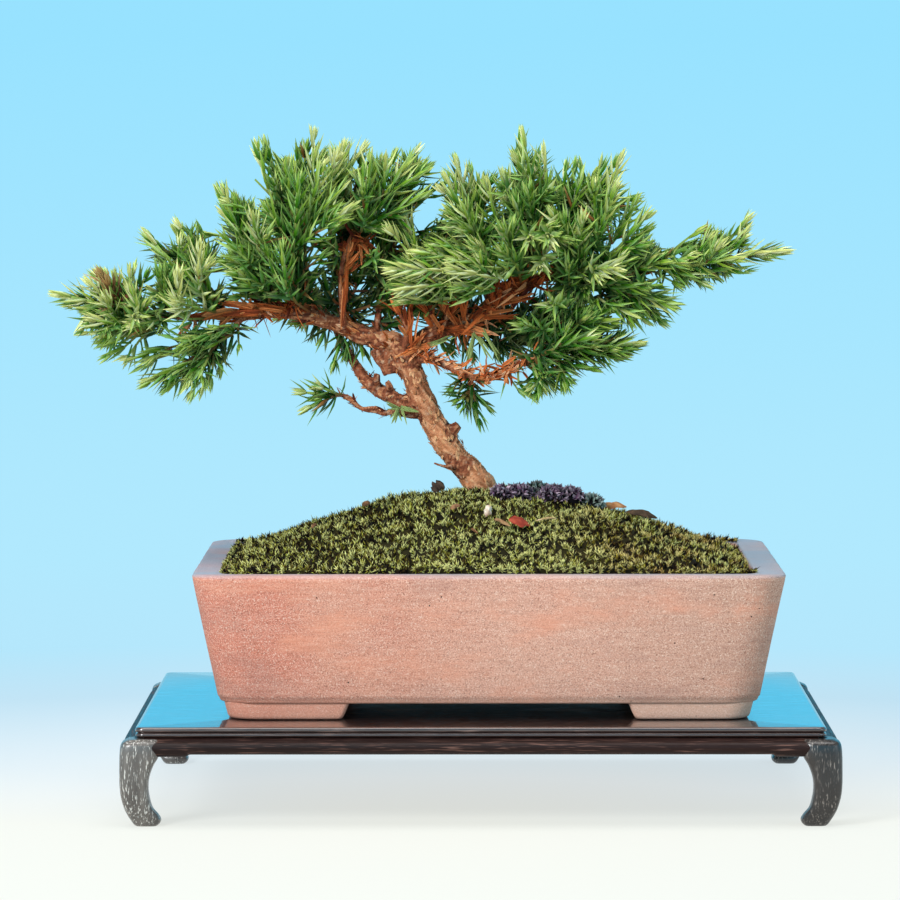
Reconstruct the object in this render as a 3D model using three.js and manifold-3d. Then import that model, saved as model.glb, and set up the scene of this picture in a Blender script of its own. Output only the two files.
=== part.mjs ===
// A Japanese garden juniper (Juniperus procumbens) trained as a small bonsai, with its unglazed
// clay pot and the low hardwood stand that the pot rests on.
// Millimetres, +Z up, the front towards -Y. The stand's middle is at X = Y = 0 while the pieces
// are made, and the finished group is then shifted so that its origin is on the ground under the
// middle of the whole object's box.
import * as THREE from "three";
import { mergeVertices } from "three/addons/utils/BufferGeometryUtils.js";
import Module from "manifold-3d";

const wasm = await Module();
wasm.setup();

// Clearance that two pieces keep where they touch.
const GAP = 0.3;
// How far a cutting shape reaches past the piece that it cuts, so that no thin skin is left.
const BEYOND = 1;

// Stand
const STAND_HALF_X = 109;
const STAND_HALF_Y = 85.5;
const STAND_TOP_Z = 30;
const PANEL_THICK = 3.2;
const PANEL_INSET = 4.6;
const PANEL_BEVEL = 0.8;
const PANEL_CORNER = 2;
const APRON_BOTTOM_Z = 21.2;
const APRON_THICK = 6;
// The rail's outer face: how far it stands back at its edges and how far it swells between them.
const APRON_SET_BACK = 1.4;
const APRON_EDGE = 0.6;
const APRON_SWELL = 1.8;
const LEG_WIDE = 12;
const LEG_SIDES = 8;
// The exponent of a leg's section: 1 makes it round and 0 square.
const LEG_ROUNDNESS = 0.3;
const BRACKET_LONG = 9;
const BRACKET_DROP = 0.9;
const BRACKET_SLOPE = 1;

// Pot, which stands a little to the right of the stand's middle
const POT_X = 2.5;
const POT_BASE_Z = STAND_TOP_Z + GAP;
const FOOT_HIGH = 5;
const RIM_Z = 75;
const POT_TOP = [181, 145];
const POT_FLOOR_OUTSIDE = [165.5, 129.5];
const POT_CORNER = 12;
const POT_FLOOR_BEVEL = 1.4;
const RIM_WIDE = 9;
const RIM_BEVEL = 1;
const CAVITY_BOTTOM = [151, 115];
const CAVITY_CORNER = 5;
const FLOOR_THICK = 5;
const FEET_OUTSIDE = [162, 127];
const FEET_TAPER = 2.4;
const FEET_WIDE = 11;
const FEET_GAP = [85, 52];
const FEET_GAP_FLARE = 2.2;
const FEET_CORNER = 8;
const FEET_INNER_CORNER = 3;
const DRAIN_RADIUS = 6;
const DRAIN_SIDES = 20;
const DRAIN_X = 38;
const NET_SIDE = 20;
const NET_THICK = 1.2;
const NET_HOLE = 3.8;
const NET_PITCH = 5.4;

// Soil and moss
const MOUND_HIGH = 21.5;
const MOUND_HALF = [84.5, 67];
const MOUND_EDGE_Z = RIM_Z + 0.5;
const MOUND_POWER = 1.1;
const MOSS_THICK = 3.2;
const MOSS_LUMP = 1;
// How many fields a height surface has along X and Y.
const SOIL_GRID = [8, 6];
const MOSS_GRID = [22, 15];

// Wood: bark swells and pinches by this share of the radius.
const BARK_SWELL = 0.07;
// Sides round a bar of wood, and steps along it.
const TRUNK_STEPS = [9, 14];
const MAIN_LIMB_STEPS = [6, 9];
const LIMB_STEPS = [5, 6];
const ROOT_STEPS = [5, 3];
const TWIG_STEPS = [5, 3];
const STUB_STEPS = [7, 3];

// Foliage: awl-shaped needles in whorls of three, each whorl turned half a step from the last.
const NEEDLE_LONG = 7.6;
const NEEDLE_RADIUS = 0.55;
const NEEDLE_ANGLE = 44;
const LAST_NEEDLE_ANGLE = 27;
const WHORL_PITCH = 8.2;
const STEM_RADIUS = 1.1;
const STEM_BASE_RADIUS = 0.7;
const STEM_TIP_RADIUS = 0.12;
// A needle stands this share of the way from its own whorl to the next.
const NEEDLE_SHIFT = 0.08;
const NEEDLE_CLEAR = 0.6;
const NEEDLE_ABOVE_MOSS = 2;
// A shoot bends forwards by this share of its length.
const SHOOT_BEND = 0.15;

const degrees = (angle) => (angle * Math.PI) / 180;

// SOLIDS

// A closed three.js geometry as a solid that can be joined and cut. One that a mirror has turned
// inside out is turned back.
function solidOf(geometry) {
  const bare = geometry.clone();
  bare.deleteAttribute("normal");
  bare.deleteAttribute("uv");
  const merged = mergeVertices(bare, 1e-4);
  const build = (corners) =>
    new wasm.Manifold(
      new wasm.Mesh({
        numProp: 3,
        vertProperties: merged.attributes.position.array,
        triVerts: new Uint32Array(corners),
      }),
    );
  const solid = build(merged.index.array);
  return solid.volume() > 0 ? solid : build([...merged.index.array].reverse());
}

// A solid as a three.js geometry.
function geometryOf(solid) {
  const mesh = solid.getMesh();
  const positions = new Float32Array(mesh.numVert * 3);
  for (let i = 0; i < mesh.numVert; i++) {
    positions.set(mesh.vertProperties.subarray(i * mesh.numProp, i * mesh.numProp + 3), i * 3);
  }
  return new THREE.BufferGeometry()
    .setAttribute("position", new THREE.BufferAttribute(positions, 3))
    .setIndex(new THREE.BufferAttribute(mesh.triVerts, 1));
}

// The largest connected body of a solid; scraps that a cut leaves loose are dropped.
function largestBody(solid) {
  return solid.decompose().sort((a, b) => b.volume() - a.volume())[0];
}

// Moves every vertex of a geometry by a rule that changes the given vector.
function reshape(geometry, rule) {
  const positions = geometry.attributes.position;
  const point = new THREE.Vector3();
  for (let i = 0; i < positions.count; i++) {
    rule(point.fromBufferAttribute(positions, i));
    positions.setXYZ(i, point.x, point.y, point.z);
  }
  return geometry;
}

// A rectangle with round corners, centred on the origin.
function roundedRectangle(wide, deep, radius) {
  const x = wide / 2;
  const y = deep / 2;
  const shape = new THREE.Shape();
  shape.absarc(x - radius, y - radius, radius, 0, Math.PI / 2);
  shape.absarc(radius - x, y - radius, radius, Math.PI / 2, Math.PI);
  shape.absarc(radius - x, radius - y, radius, Math.PI, Math.PI * 1.5);
  shape.absarc(x - radius, radius - y, radius, Math.PI * 1.5, Math.PI * 2);
  return shape;
}

// A straight-sided block of a shape, from one height to another.
function block(shape, lowZ, highZ, curveSegments = 5) {
  const geometry = new THREE.ExtrudeGeometry(shape, {
    depth: highZ - lowZ,
    bevelEnabled: false,
    curveSegments,
  });
  return geometry.translate(0, 0, lowZ);
}

// A rounded-rectangle block whose width and depth change evenly from bottom to top.
function taperedBlock([bottomWide, bottomDeep], [topWide, topDeep], radius, lowZ, highZ, corners = 3) {
  const geometry = block(roundedRectangle(topWide, topDeep, radius), lowZ, highZ, corners);
  return reshape(geometry, (point) => {
    const up = (point.z - lowZ) / (highZ - lowZ);
    point.x *= THREE.MathUtils.lerp(bottomWide / topWide, 1, up);
    point.y *= THREE.MathUtils.lerp(bottomDeep / topDeep, 1, up);
  });
}

function cuboid(wide, deep, high, x, y, z) {
  return new THREE.BoxGeometry(wide, deep, high).translate(x, y, z);
}

// STAND

// The four corners of the stand, each as the signs of X and Y.
const CORNERS = {
  front_left: [-1, -1],
  front_right: [1, -1],
  back_left: [-1, 1],
  back_right: [1, 1],
};

// A leg's outline seen from the front: height, inset of its outer face from the stand's side, and
// inset of its inner face. The outer face bulges under the panel and the foot turns inwards.
const LEG_OUTLINE = [
  [0, 3.9, 12.3],
  [1.8, 2.6, 12.4],
  [5, 1.2, 10.8],
  [10, 0.2, 9.1],
  [16, 0, 9.8],
  [21.2, 0, LEG_WIDE],
  [24.4, 0.4, LEG_WIDE],
  [26.4, 1.8, LEG_WIDE],
];

// The leg is a stack of rounded squares that follow the outline alike along X and along Y.
function legGeometry([sideX, sideY]) {
  const levels = LEG_OUTLINE.length - 1;
  const geometry = new THREE.CylinderGeometry(1, 1, levels, LEG_SIDES, levels);
  geometry.rotateY(Math.PI / LEG_SIDES);
  const square = (value) => Math.sign(value) * Math.abs(value) ** LEG_ROUNDNESS;
  reshape(geometry, (point) => {
    const [z, outer, inner] = LEG_OUTLINE[Math.round(point.y + levels / 2)];
    const half = (inner - outer) / 2;
    const middle = (inner + outer) / 2;
    point.set(
      sideX * (STAND_HALF_X - middle + square(point.x) * half),
      sideY * (STAND_HALF_Y - middle + square(point.z) * half),
      z,
    );
  });
  return geometryOf(solidOf(geometry));
}

// One apron rail between two legs, along X: a swelling outer face, with a small bracket at each end.
// The profile reaches below the rail, and the rail's outline then cuts it off.
function apronGeometry(halfLength, outerFace) {
  const top = STAND_TOP_Z - PANEL_THICK - GAP;
  const face = outerFace - APRON_SET_BACK;
  const edge = face - APRON_EDGE;
  const below = APRON_BOTTOM_Z - 2 * BEYOND;
  const profile = new THREE.Shape();
  profile.moveTo(face - APRON_THICK, below);
  profile.lineTo(edge, below);
  profile.lineTo(edge, APRON_BOTTOM_Z);
  profile.quadraticCurveTo(face + APRON_SWELL, (APRON_BOTTOM_Z + top) / 2, edge, top);
  profile.lineTo(face - APRON_THICK, top);
  const swell = new THREE.ExtrudeGeometry(profile, {
    depth: 2 * halfLength,
    bevelEnabled: false,
    curveSegments: 5,
  });
  // The profile was drawn as (out, up): turn it so that it runs along X with its face towards -Y.
  reshape(swell, (point) => point.set(point.z - halfLength, -point.x, point.y));
  const outline = new THREE.Shape();
  const bracketStart = halfLength - BRACKET_LONG;
  outline.moveTo(-halfLength, APRON_BOTTOM_Z - BRACKET_DROP);
  outline.lineTo(-bracketStart, APRON_BOTTOM_Z - BRACKET_DROP);
  outline.lineTo(-bracketStart + BRACKET_SLOPE, APRON_BOTTOM_Z);
  outline.lineTo(bracketStart - BRACKET_SLOPE, APRON_BOTTOM_Z);
  outline.lineTo(bracketStart, APRON_BOTTOM_Z - BRACKET_DROP);
  outline.lineTo(halfLength, APRON_BOTTOM_Z - BRACKET_DROP);
  outline.lineTo(halfLength, top);
  outline.lineTo(-halfLength, top);
  const cutter = new THREE.ExtrudeGeometry(outline, { depth: 4 * APRON_THICK, bevelEnabled: false });
  reshape(cutter, (point) => point.set(point.x, -outerFace - APRON_THICK + point.z, point.y));
  return geometryOf(solidOf(swell).intersect(solidOf(cutter)));
}

// The panel's edge is rounded over a little at the top and the bottom.
function panelGeometry() {
  const wide = 2 * (STAND_HALF_X - PANEL_INSET - PANEL_BEVEL);
  const deep = 2 * (STAND_HALF_Y - PANEL_INSET - PANEL_BEVEL);
  return new THREE.ExtrudeGeometry(roundedRectangle(wide, deep, PANEL_CORNER), {
    depth: PANEL_THICK - 2 * PANEL_BEVEL,
    bevelThickness: PANEL_BEVEL,
    bevelSize: PANEL_BEVEL,
    bevelSegments: 1,
    curveSegments: 2,
  }).translate(0, 0, STAND_TOP_Z - PANEL_THICK + PANEL_BEVEL);
}

// POT

const POT_FLOOR_Z = POT_BASE_Z + FOOT_HIGH;
const CAVITY_FLOOR_Z = POT_FLOOR_Z + FLOOR_THICK;
const CAVITY_TOP = POT_TOP.map((size) => size - 2 * RIM_WIDE);

// Pot pieces are made round the pot's own middle and then set in their place on the stand.
function onStand(geometry) {
  return geometry.translate(POT_X, 0, 0);
}

// The pot's hollow, drawn in by a clearance on every side, and carried on above the rim.
function cavity(clearance, highZ = RIM_Z) {
  const grow = (highZ - CAVITY_FLOOR_Z) / (RIM_Z - CAVITY_FLOOR_Z);
  const bottom = CAVITY_BOTTOM.map((size) => size - 2 * clearance);
  const top = CAVITY_TOP.map((size, i) => bottom[i] + (size - 2 * clearance - bottom[i]) * grow);
  return taperedBlock(bottom, top, CAVITY_CORNER, CAVITY_FLOOR_Z + clearance, highZ, 2);
}

function drainHole(x, radius, lowZ, highZ) {
  return solidOf(
    new THREE.CylinderGeometry(radius, radius, highZ - lowZ, DRAIN_SIDES)
      .rotateX(Math.PI / 2)
      .translate(x, 0, (lowZ + highZ) / 2),
  );
}

// Four L-shaped feet: a ring that runs a little up into the floor, cut through along both axes.
function feet() {
  const bottom = FEET_OUTSIDE.map((size) => size - FEET_TAPER);
  const top = POT_FLOOR_Z + BEYOND;
  let ring = solidOf(taperedBlock(bottom, FEET_OUTSIDE, FEET_CORNER, POT_BASE_Z, top));
  const [insideWide, insideDeep] = FEET_OUTSIDE.map((size) => size - 2 * FEET_WIDE);
  const inside = roundedRectangle(insideWide, insideDeep, FEET_INNER_CORNER);
  ring = ring.subtract(solidOf(block(inside, POT_BASE_Z - BEYOND, top + BEYOND, 2)));
  const gapBlock = (gap, reach) => {
    const half = gap / 2;
    const outline = new THREE.Shape();
    outline.moveTo(-half - FEET_GAP_FLARE, POT_BASE_Z - BEYOND);
    outline.lineTo(half + FEET_GAP_FLARE, POT_BASE_Z - BEYOND);
    outline.lineTo(half, top + BEYOND);
    outline.lineTo(-half, top + BEYOND);
    const slab = new THREE.ExtrudeGeometry(outline, { depth: 2 * reach, bevelEnabled: false });
    return slab.rotateX(Math.PI / 2).translate(0, reach, 0);
  };
  ring = ring.subtract(solidOf(gapBlock(FEET_GAP[0], POT_TOP[1])));
  return ring.subtract(solidOf(gapBlock(FEET_GAP[1], POT_TOP[0]).rotateZ(Math.PI / 2)));
}

// The pot's wall between two narrow bevels, one under it and one round the rim.
function potGeometry() {
  const floorEdge = POT_FLOOR_OUTSIDE.map((size) => size - POT_FLOOR_BEVEL);
  const rimEdge = POT_TOP.map((size) => size - RIM_BEVEL);
  const wallLow = POT_FLOOR_Z + POT_FLOOR_BEVEL;
  const wallHigh = RIM_Z - RIM_BEVEL;
  const band = (bottom, top, lowZ, highZ) => solidOf(taperedBlock(bottom, top, POT_CORNER, lowZ, highZ));
  let pot = band(POT_FLOOR_OUTSIDE, POT_TOP, wallLow, wallHigh);
  pot = pot.add(band(floorEdge, POT_FLOOR_OUTSIDE, POT_FLOOR_Z, wallLow));
  pot = pot.add(band(POT_TOP, rimEdge, wallHigh, RIM_Z));
  pot = pot.subtract(solidOf(cavity(0, RIM_Z + BEYOND)));
  pot = pot.add(feet());
  for (const x of [-DRAIN_X, DRAIN_X]) {
    pot = pot.subtract(drainHole(x, DRAIN_RADIUS, POT_FLOOR_Z - BEYOND, CAVITY_FLOOR_Z + BEYOND));
  }
  return onStand(geometryOf(pot));
}

// A square of plastic net over a drain hole, which lets water out and keeps the soil in.
function netGeometry(x) {
  const z = CAVITY_FLOOR_Z + GAP + NET_THICK / 2;
  let net = solidOf(cuboid(NET_SIDE, NET_SIDE, NET_THICK, x, 0, z));
  for (const row of [-NET_PITCH, 0, NET_PITCH]) {
    for (const column of [-NET_PITCH, 0, NET_PITCH]) {
      const hole = cuboid(NET_HOLE, NET_HOLE, 2 * NET_THICK, x + row, column, z);
      net = net.subtract(solidOf(hole));
    }
  }
  return onStand(geometryOf(net));
}

// TREE SKELETON
// Points are [x, y, z, radius], hand-placed along each limb's middle line.

const ROOTS = [
  [[6, 0, 80, 4.2], [14, -8, 72, 2.6], [28, -16, 64, 1.6], [42, -22, 58, 0.9]],
  [[6, 0, 80, 4.2], [16, 8, 72, 2.6], [30, 18, 62, 1.7], [46, 24, 56, 0.9]],
  [[5, 0, 80, 4.0], [-6, 10, 71, 2.4], [-20, 20, 62, 1.6], [-36, 26, 55, 0.9]],
  [[5, 0, 80, 4.0], [-8, -8, 72, 2.4], [-22, -17, 63, 1.5], [-38, -24, 56, 0.9]],
  [[6, 0, 80, 4.4], [8, -2, 66, 3.0], [4, -4, 54, 1.6]],
];

const LIMBS = {
  trunk: [
    [6, 0, 77, 6.6], [4, 0, 90, 6.0], [-1, -1, 99, 5.2], [-8.5, -2, 108, 4.4], [-14, -2, 116.5, 4.1],
    [-18.5, -2, 125, 3.9], [-22, -1, 134, 4.1], [-26, 0, 141, 4.3], [-31.5, 0, 143.5, 3.4],
  ],
  left: [
    [-26, 0, 140, 4.0], [-32, 0, 143.5, 3.3], [-38.5, 0, 146, 2.9], [-46.5, -1, 149, 2.5],
    [-55, -2, 151.5, 2.2], [-64, -3, 152.5, 1.9], [-73, -4, 151.5, 1.6], [-81, -4, 152, 1.4],
    [-89, -5, 150.5, 1.1],
  ],
  right: [
    [-25, 0, 138, 3.4], [-15, -1, 145.5, 2.8], [-6, -2, 148.5, 2.5], [2, -3, 152, 2.3],
    [9, -3, 158, 2.0], [16, -2, 162, 1.8], [24.5, -1, 165, 1.5], [36, 0, 168, 1.2],
  ],
  low_right: [
    [-24, -1, 137, 2.4], [-17, -5, 138, 1.6], [-10.5, -8, 136, 1.3], [-3, -10, 132.5, 1.2],
    [5, -11, 132.5, 1.1], [11, -11, 135.5, 1.1], [17, -11, 138, 0.9],
  ],
  low_left: [
    [-18, -2, 123.5, 2.6], [-29, 1, 125.5, 2.2], [-34, 3, 128.5, 2.0], [-37.5, 5, 132, 1.7],
    [-40.5, 7, 137, 1.6], [-43.5, 9, 142, 1.4], [-47, 13, 149, 1.0],
  ],
  low_twig: [
    [-20, -2, 120.5, 1.6], [-27, -5, 121, 1.1], [-33, -6, 121.5, 0.9], [-37.5, -6, 122.5, 0.8],
    [-40.5, -6, 125, 0.8], [-43.5, -6, 126.5, 0.7],
  ],
  dead_upright: [
    [-43, -2, 147, 1.3], [-43.5, -6, 157, 0.9], [-43.5, -8, 166, 0.8], [-41.5, -9, 174, 0.7],
    [-40, -9, 178, 0.4],
  ],
  dead_fork: [[-24, -3, 141, 1.4], [-23, -6, 147, 1.0], [-25, -8, 152, 0.7], [-26, -9, 156, 0.4]],
  dead_right: [[-14, -2, 146, 1.2], [-15, -6, 151, 0.8], [-17, -9, 155, 0.4]],
  dead_crotch: [[-13, -2, 146, 1.2], [-10, -5, 152, 0.8], [-7, -8, 156, 0.4]],
};

// Dry brown needles that cling to the older wood: limb, first and last place along it, how many.
const DRY_NEEDLES = [
  ["left", 0.3, 0.96, 12],
  ["right", 0.25, 0.9, 9],
  ["low_right", 0.25, 0.9, 9],
  ["dead_upright", 0.6, 0.96, 6],
  ["dead_fork", 0.4, 0.9, 4],
];
const DRY_NEEDLE_LONG = 5.5;
const DRY_NEEDLE_RADIUS = 0.5;
const DRY_NEEDLE_ANGLE = 38;

// The stub of one pruned branch on the trunk's right side.
const PRUNED_STUB = [[-11, -2, 112, 2.4], [-8.2, -2.5, 115.5, 1.9], [-6.8, -2.7, 117, 1.5]];

// Leafy boughs. Each has a twig, rooted in a limb, and shoots: the share of the twig where the
// shoot leaves it, then the place of the shoot's furthest needle.
const BOUGHS = {
  left_end: {
    twig: [[-89, -5, 150.5, 1.1], [-97, -6, 151.5, 1.1], [-107, -7, 153, 1.0], [-117, -7, 155, 0.9]],
    shoots: [
      [1, -135, -8, 159.5], [0.8, -126, -22, 146], [0.65, -120.5, -12, 139.5],
      [0.8, -119.5, 1, 166], [0.55, -110, 8, 167.5], [0.25, -98, -35, 165], [0.35, -113, 9, 135.5],
      [0.9, -131, 7, 150],
    ],
  },
  left_low: {
    twig: [[-74, -4, 151.5, 1.1], [-79, -8, 146.5, 1.0], [-86, -9, 141, 0.9]],
    shoots: [
      [1, -107.5, -8, 129], [0.5, -93, 11, 133], [0.7, -87, -29, 133.5], [0.3, -99, -30, 145],
      [0.2, -74, -26, 139],
    ],
  },
  left_up: {
    twig: [[-80, -4, 152, 1.1], [-84, -1, 158, 1.0], [-89, 2, 164, 0.9]],
    shoots: [
      [1, -109, -3, 179], [0.8, -96.5, 18, 182], [0.5, -91, -30, 171], [0.6, -106, 21, 165],
      [0.2, -85, 29, 155],
    ],
  },
  left_crown: {
    twig: [[-66, -3, 152.5, 1.2], [-69, 0, 161, 1.0], [-73, 3, 169, 0.9]],
    shoots: [
      [1, -83.5, 4, 193], [0.9, -72.5, -10, 188], [0.8, -80, 32, 183], [0.4, -72, -36, 173],
      [0.2, -69, 20, 157],
    ],
  },
  centre_left: {
    twig: [[-53, -2, 151, 1.3], [-54, 1, 161, 1.1], [-56, 2, 171, 1.0], [-57, 2, 180, 0.9]],
    shoots: [
      [1, -70.5, -6, 208], [0.95, -54, 2, 211.5], [0.75, -61, 23, 201], [0.6, -68.5, -20, 190],
      [0.55, -55, -32, 188], [0.3, -62, -30, 170], [0.5, -55, 42, 182],
    ],
  },
  centre: {
    twig: [[-42, 0, 147.5, 1.3], [-44, 4, 158, 1.1], [-43, 6, 168, 1.0], [-42, 6, 178, 0.9]],
    shoots: [
      [1, -44.5, 18, 205], [0.95, -36, -4, 207.5], [0.75, -33, -11, 190], [0.7, -38, 40, 193],
      [0.4, -49, -21, 179], [0.4, -44, 39, 168],
    ],
  },
  centre_right: {
    twig: [[-33, 0, 144, 1.3], [-32, 4, 153, 1.1], [-31, 5, 164, 1.0], [-30, 5, 173, 0.9]],
    shoots: [
      [0.95, -26, 11, 199], [1, -17.5, 2, 206], [0.8, -15.5, -7, 191.5], [0.5, -35, -25, 172],
      [0.5, -18, 35, 178], [0.3, -27, 39, 160],
    ],
  },
  mid_back: {
    twig: [[-47, 13, 149, 1.0], [-50, 17, 153, 0.9], [-53, 20, 156, 0.8]],
    shoots: [[1, -70, 38, 164], [0.6, -38, 42, 153], [0.3, -56, 31, 139.5], [0.5, -66, 44, 149]],
  },
  right_inner: {
    twig: [[-4, -2, 149.5, 1.2], [-6, -6, 156, 1.0], [-9, -7, 163, 0.9]],
    shoots: [
      [1, -30, -8, 180.5], [0.8, -29.5, -26, 168], [0.5, -27, -31, 155], [0.6, -10, -36, 166],
      [0.95, -17, 8, 180],
    ],
  },
  right_left: {
    twig: [[3, -3, 153, 1.2], [2, 0, 162, 1.1], [0, 2, 172, 1.0], [-1, 2, 180, 0.9]],
    shoots: [
      [1, -9, -2, 202], [0.95, 2, 8, 199], [0.7, -8, -23, 184], [0.7, -2, 38, 187],
      [0.35, -12, 31, 168],
    ],
  },
  right_crown: {
    twig: [[13, -2.5, 160.5, 1.3], [14, 0, 169, 1.1], [15, 2, 178, 1.0], [14, 2, 186, 0.9]],
    shoots: [
      [1, 12, 0, 210.5], [0.9, 21, 6, 207], [0.3, 12.5, -43, 178], [0.75, 6, -25, 192],
      [0.7, 22, -22, 191], [0.6, 13, 40, 190], [0.3, 14, 39, 168],
    ],
  },
  right_shoulder: {
    twig: [[24.5, -1, 165, 1.3], [27, 2, 173, 1.1], [31, 3, 180, 1.0], [34, 3, 186, 0.9]],
    shoots: [
      [0.9, 30.5, 6, 204], [1, 46, -2, 204], [0.8, 54.5, 0, 189], [0.4, 35, -40, 178],
      [0.6, 36, -22, 191], [0.6, 38, 38, 188], [0.3, 32, 39, 168],
    ],
  },
  right_end: {
    twig: [
      [36, 0, 168, 1.2], [46, 0, 168, 1.1], [58, -1, 168, 1.0], [70, -1, 168.5, 0.9],
      [80, -1, 169.5, 0.9],
    ],
    shoots: [
      [1, 96, -1, 171.5], [0.75, 84, -4, 182], [0.8, 86, -9, 163], [0.5, 73, -5, 159.5],
      [0.4, 71, 7, 180.5], [0.15, 56, 18, 178], [0.3, 62, -23, 171], [0.55, 79, 18, 166],
    ],
  },
  right_low: {
    twig: [[26, -1, 165.5, 1.1], [32, -5, 162.5, 1.0], [39, -8, 160, 0.9], [45, -9, 158.5, 0.8]],
    shoots: [
      [1, 63, -9, 154], [0.8, 58, -25, 162.5], [0.5, 42, -38, 153], [0.2, 33, -42, 160],
      [0.6, 52, 7, 152],
    ],
  },
  mid_right: {
    twig: [[2, -3, 152, 1.2], [9, 2, 149.5, 1.0], [17, 5, 148.5, 0.9], [24, 6, 149, 0.8]],
    shoots: [
      [1, 46, 10, 151], [0.7, 37, 27, 143], [0.5, 30, 35, 154], [0.6, 30, -12, 151],
      [0.3, 10, 35, 148],
    ],
  },
  low_right_end: {
    twig: [[17, -11, 138, 0.9], [24, -10, 140, 0.9], [31, -9, 141, 0.8]],
    shoots: [
      [1, 52.5, -8, 142.5], [0.8, 45, 6, 137], [0.4, 28, -21, 126.5], [0.1, 17, -22, 122.5],
      [0.5, 37, -32, 143],
    ],
  },
  hanging: {
    twig: [[-3, -10, 132.5, 0.9], [-3, -9, 129.5, 0.8], [-3, -8, 127.5, 0.7]],
    shoots: [[1, -0.5, -8, 114], [0.9, 7, -4, 120], [0.4, -12, -4, 128.5], [0.7, -9, -17, 121]],
  },
  low_left_twig: {
    twig: [[-43.5, -6, 126.5, 0.7], [-45.5, -6, 126.3, 0.7]],
    shoots: [[1, -61, -6, 123.3]],
  },
};

// A smooth line through a limb's points. Its radius at a share t is read between the points.
function limbLine(points) {
  const curve = new THREE.CatmullRomCurve3(
    points.map(([x, y, z]) => new THREE.Vector3(x, y, z)),
    false,
    "catmullrom",
    0.5,
  );
  const radiusAt = (t) => {
    const place = t * (points.length - 1);
    const low = Math.min(Math.floor(place), points.length - 2);
    return THREE.MathUtils.lerp(points[low][3], points[low + 1][3], place - low);
  };
  return { curve, radiusAt };
}

// The directions square to a line at one place, from a reference that holds for the whole line.
function frameAt(curve, t) {
  const chord = curve.getPoint(1).sub(curve.getPoint(0));
  const reference = Math.abs(chord.y) > 0.8 * chord.length() ? [1, 0, 0] : [0, 1, 0];
  const sideways = new THREE.Vector3(...reference).cross(chord).normalize();
  const tangent = curve.getTangent(t);
  const across = new THREE.Vector3().crossVectors(tangent, sideways).normalize();
  return { tangent, across, up: new THREE.Vector3().crossVectors(across, tangent) };
}

// The direction that points away from a line at an angle round it, in degrees.
function outwardsAt({ across, up }, around) {
  const outwards = across.clone().multiplyScalar(Math.cos(degrees(around)));
  return outwards.addScaledVector(up, Math.sin(degrees(around)));
}

// A closed bar along a line: a cylinder whose rings are moved on to the curve. The rings can turn
// by a number of degrees from one to the next.
function barGeometry({ curve, radiusAt }, sides, steps, turn = 0) {
  return reshape(new THREE.CylinderGeometry(1, 1, 1, sides, steps), (point) => {
    const t = THREE.MathUtils.clamp(point.y + 0.5, 0, 1);
    const around = THREE.MathUtils.radToDeg(Math.atan2(point.x, point.z)) + 90;
    const radius = Math.round(Math.hypot(point.x, point.z)) * radiusAt(t);
    const outwards = outwardsAt(frameAt(curve, t), around + turn * steps * (1 - t));
    point.copy(curve.getPoint(t)).addScaledVector(outwards, radius);
  });
}

// Bark swells and pinches a little along the trunk and limbs: two waves, a fast and a slow one.
function knobbly({ curve, radiusAt }) {
  const swell = (t) => 1 + BARK_SWELL * Math.sin(23 * t + 1) * Math.sin(11 * t);
  return { curve, radiusAt: (t) => radiusAt(t) * swell(t) };
}

// NEEDLES

// The shortest distance between two straight pieces of line.
function segmentDistance(a, b) {
  const first = a.end.clone().sub(a.start);
  const second = b.end.clone().sub(b.start);
  const between = a.start.clone().sub(b.start);
  const firstLength = first.dot(first);
  const secondLength = second.dot(second);
  const together = first.dot(second);
  const along = second.dot(between);
  const reach = first.dot(between);
  const spread = firstLength * secondLength - together * together;
  const clamp = (value) => THREE.MathUtils.clamp(value, 0, 1);
  let s = spread > 1e-9 ? clamp((together * along - reach * secondLength) / spread) : 0;
  const t = clamp((together * s + along) / secondLength);
  s = clamp((together * t - reach) / firstLength);
  const pointA = a.start.clone().addScaledVector(first, s);
  return pointA.distanceTo(b.start.clone().addScaledVector(second, t));
}

// One needle: a slim three-sided spike, flat above and keeled below. Its blunt end stands inside
// the stem.
function needle(start, direction, below, long, radius) {
  const basis = new THREE.Matrix4().makeBasis(
    new THREE.Vector3().crossVectors(direction, below),
    direction,
    below,
  );
  const placed = basis.setPosition(start);
  const spike = new THREE.ConeGeometry(radius, long, 3).translate(0, long / 2, 0);
  return {
    solid: () => solidOf(spike.applyMatrix4(placed)),
    start,
    end: start.clone().addScaledVector(direction, long),
    radius: radius * 0.6,
  };
}

// A needle that leaves a line at a share t, at an angle round the line and an angle off it.
function needleOn(curve, t, around, angle, long, radius = NEEDLE_RADIUS) {
  const frame = frameAt(curve, t);
  const outwards = outwardsAt(frame, around);
  const leaning = (along, away) =>
    frame.tangent.clone().multiplyScalar(along).addScaledVector(outwards, away);
  const [sine, cosine] = [Math.sin(degrees(angle)), Math.cos(degrees(angle))];
  return needle(curve.getPoint(t), leaning(cosine, sine), leaning(-sine, cosine), long, radius);
}

// A shoot's middle line leaves the twig a little forwards and ends in a point.
function shootLine(twig, [share, x, y, z]) {
  const base = twig.curve.getPoint(share);
  const tip = new THREE.Vector3(x, y, z);
  const length = base.distanceTo(tip);
  const bend = base.clone().add(tip).multiplyScalar(0.5);
  bend.addScaledVector(twig.curve.getTangent(share), SHOOT_BEND * length);
  const curve = new THREE.QuadraticBezierCurve3(base, bend, tip);
  const whorls = Math.max(2, Math.round(length / WHORL_PITCH));
  const radiusAt = (t) => (t === 0 ? STEM_BASE_RADIUS : t === 1 ? STEM_TIP_RADIUS : STEM_RADIUS);
  return { curve, radiusAt, whorls };
}

// A shoot's stem is three-sided and turns half a step from whorl to whorl, so that each needle
// stands in the middle of a flat.
function shootStem(line) {
  return solidOf(barGeometry(line, 3, line.whorls, 60));
}

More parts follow.
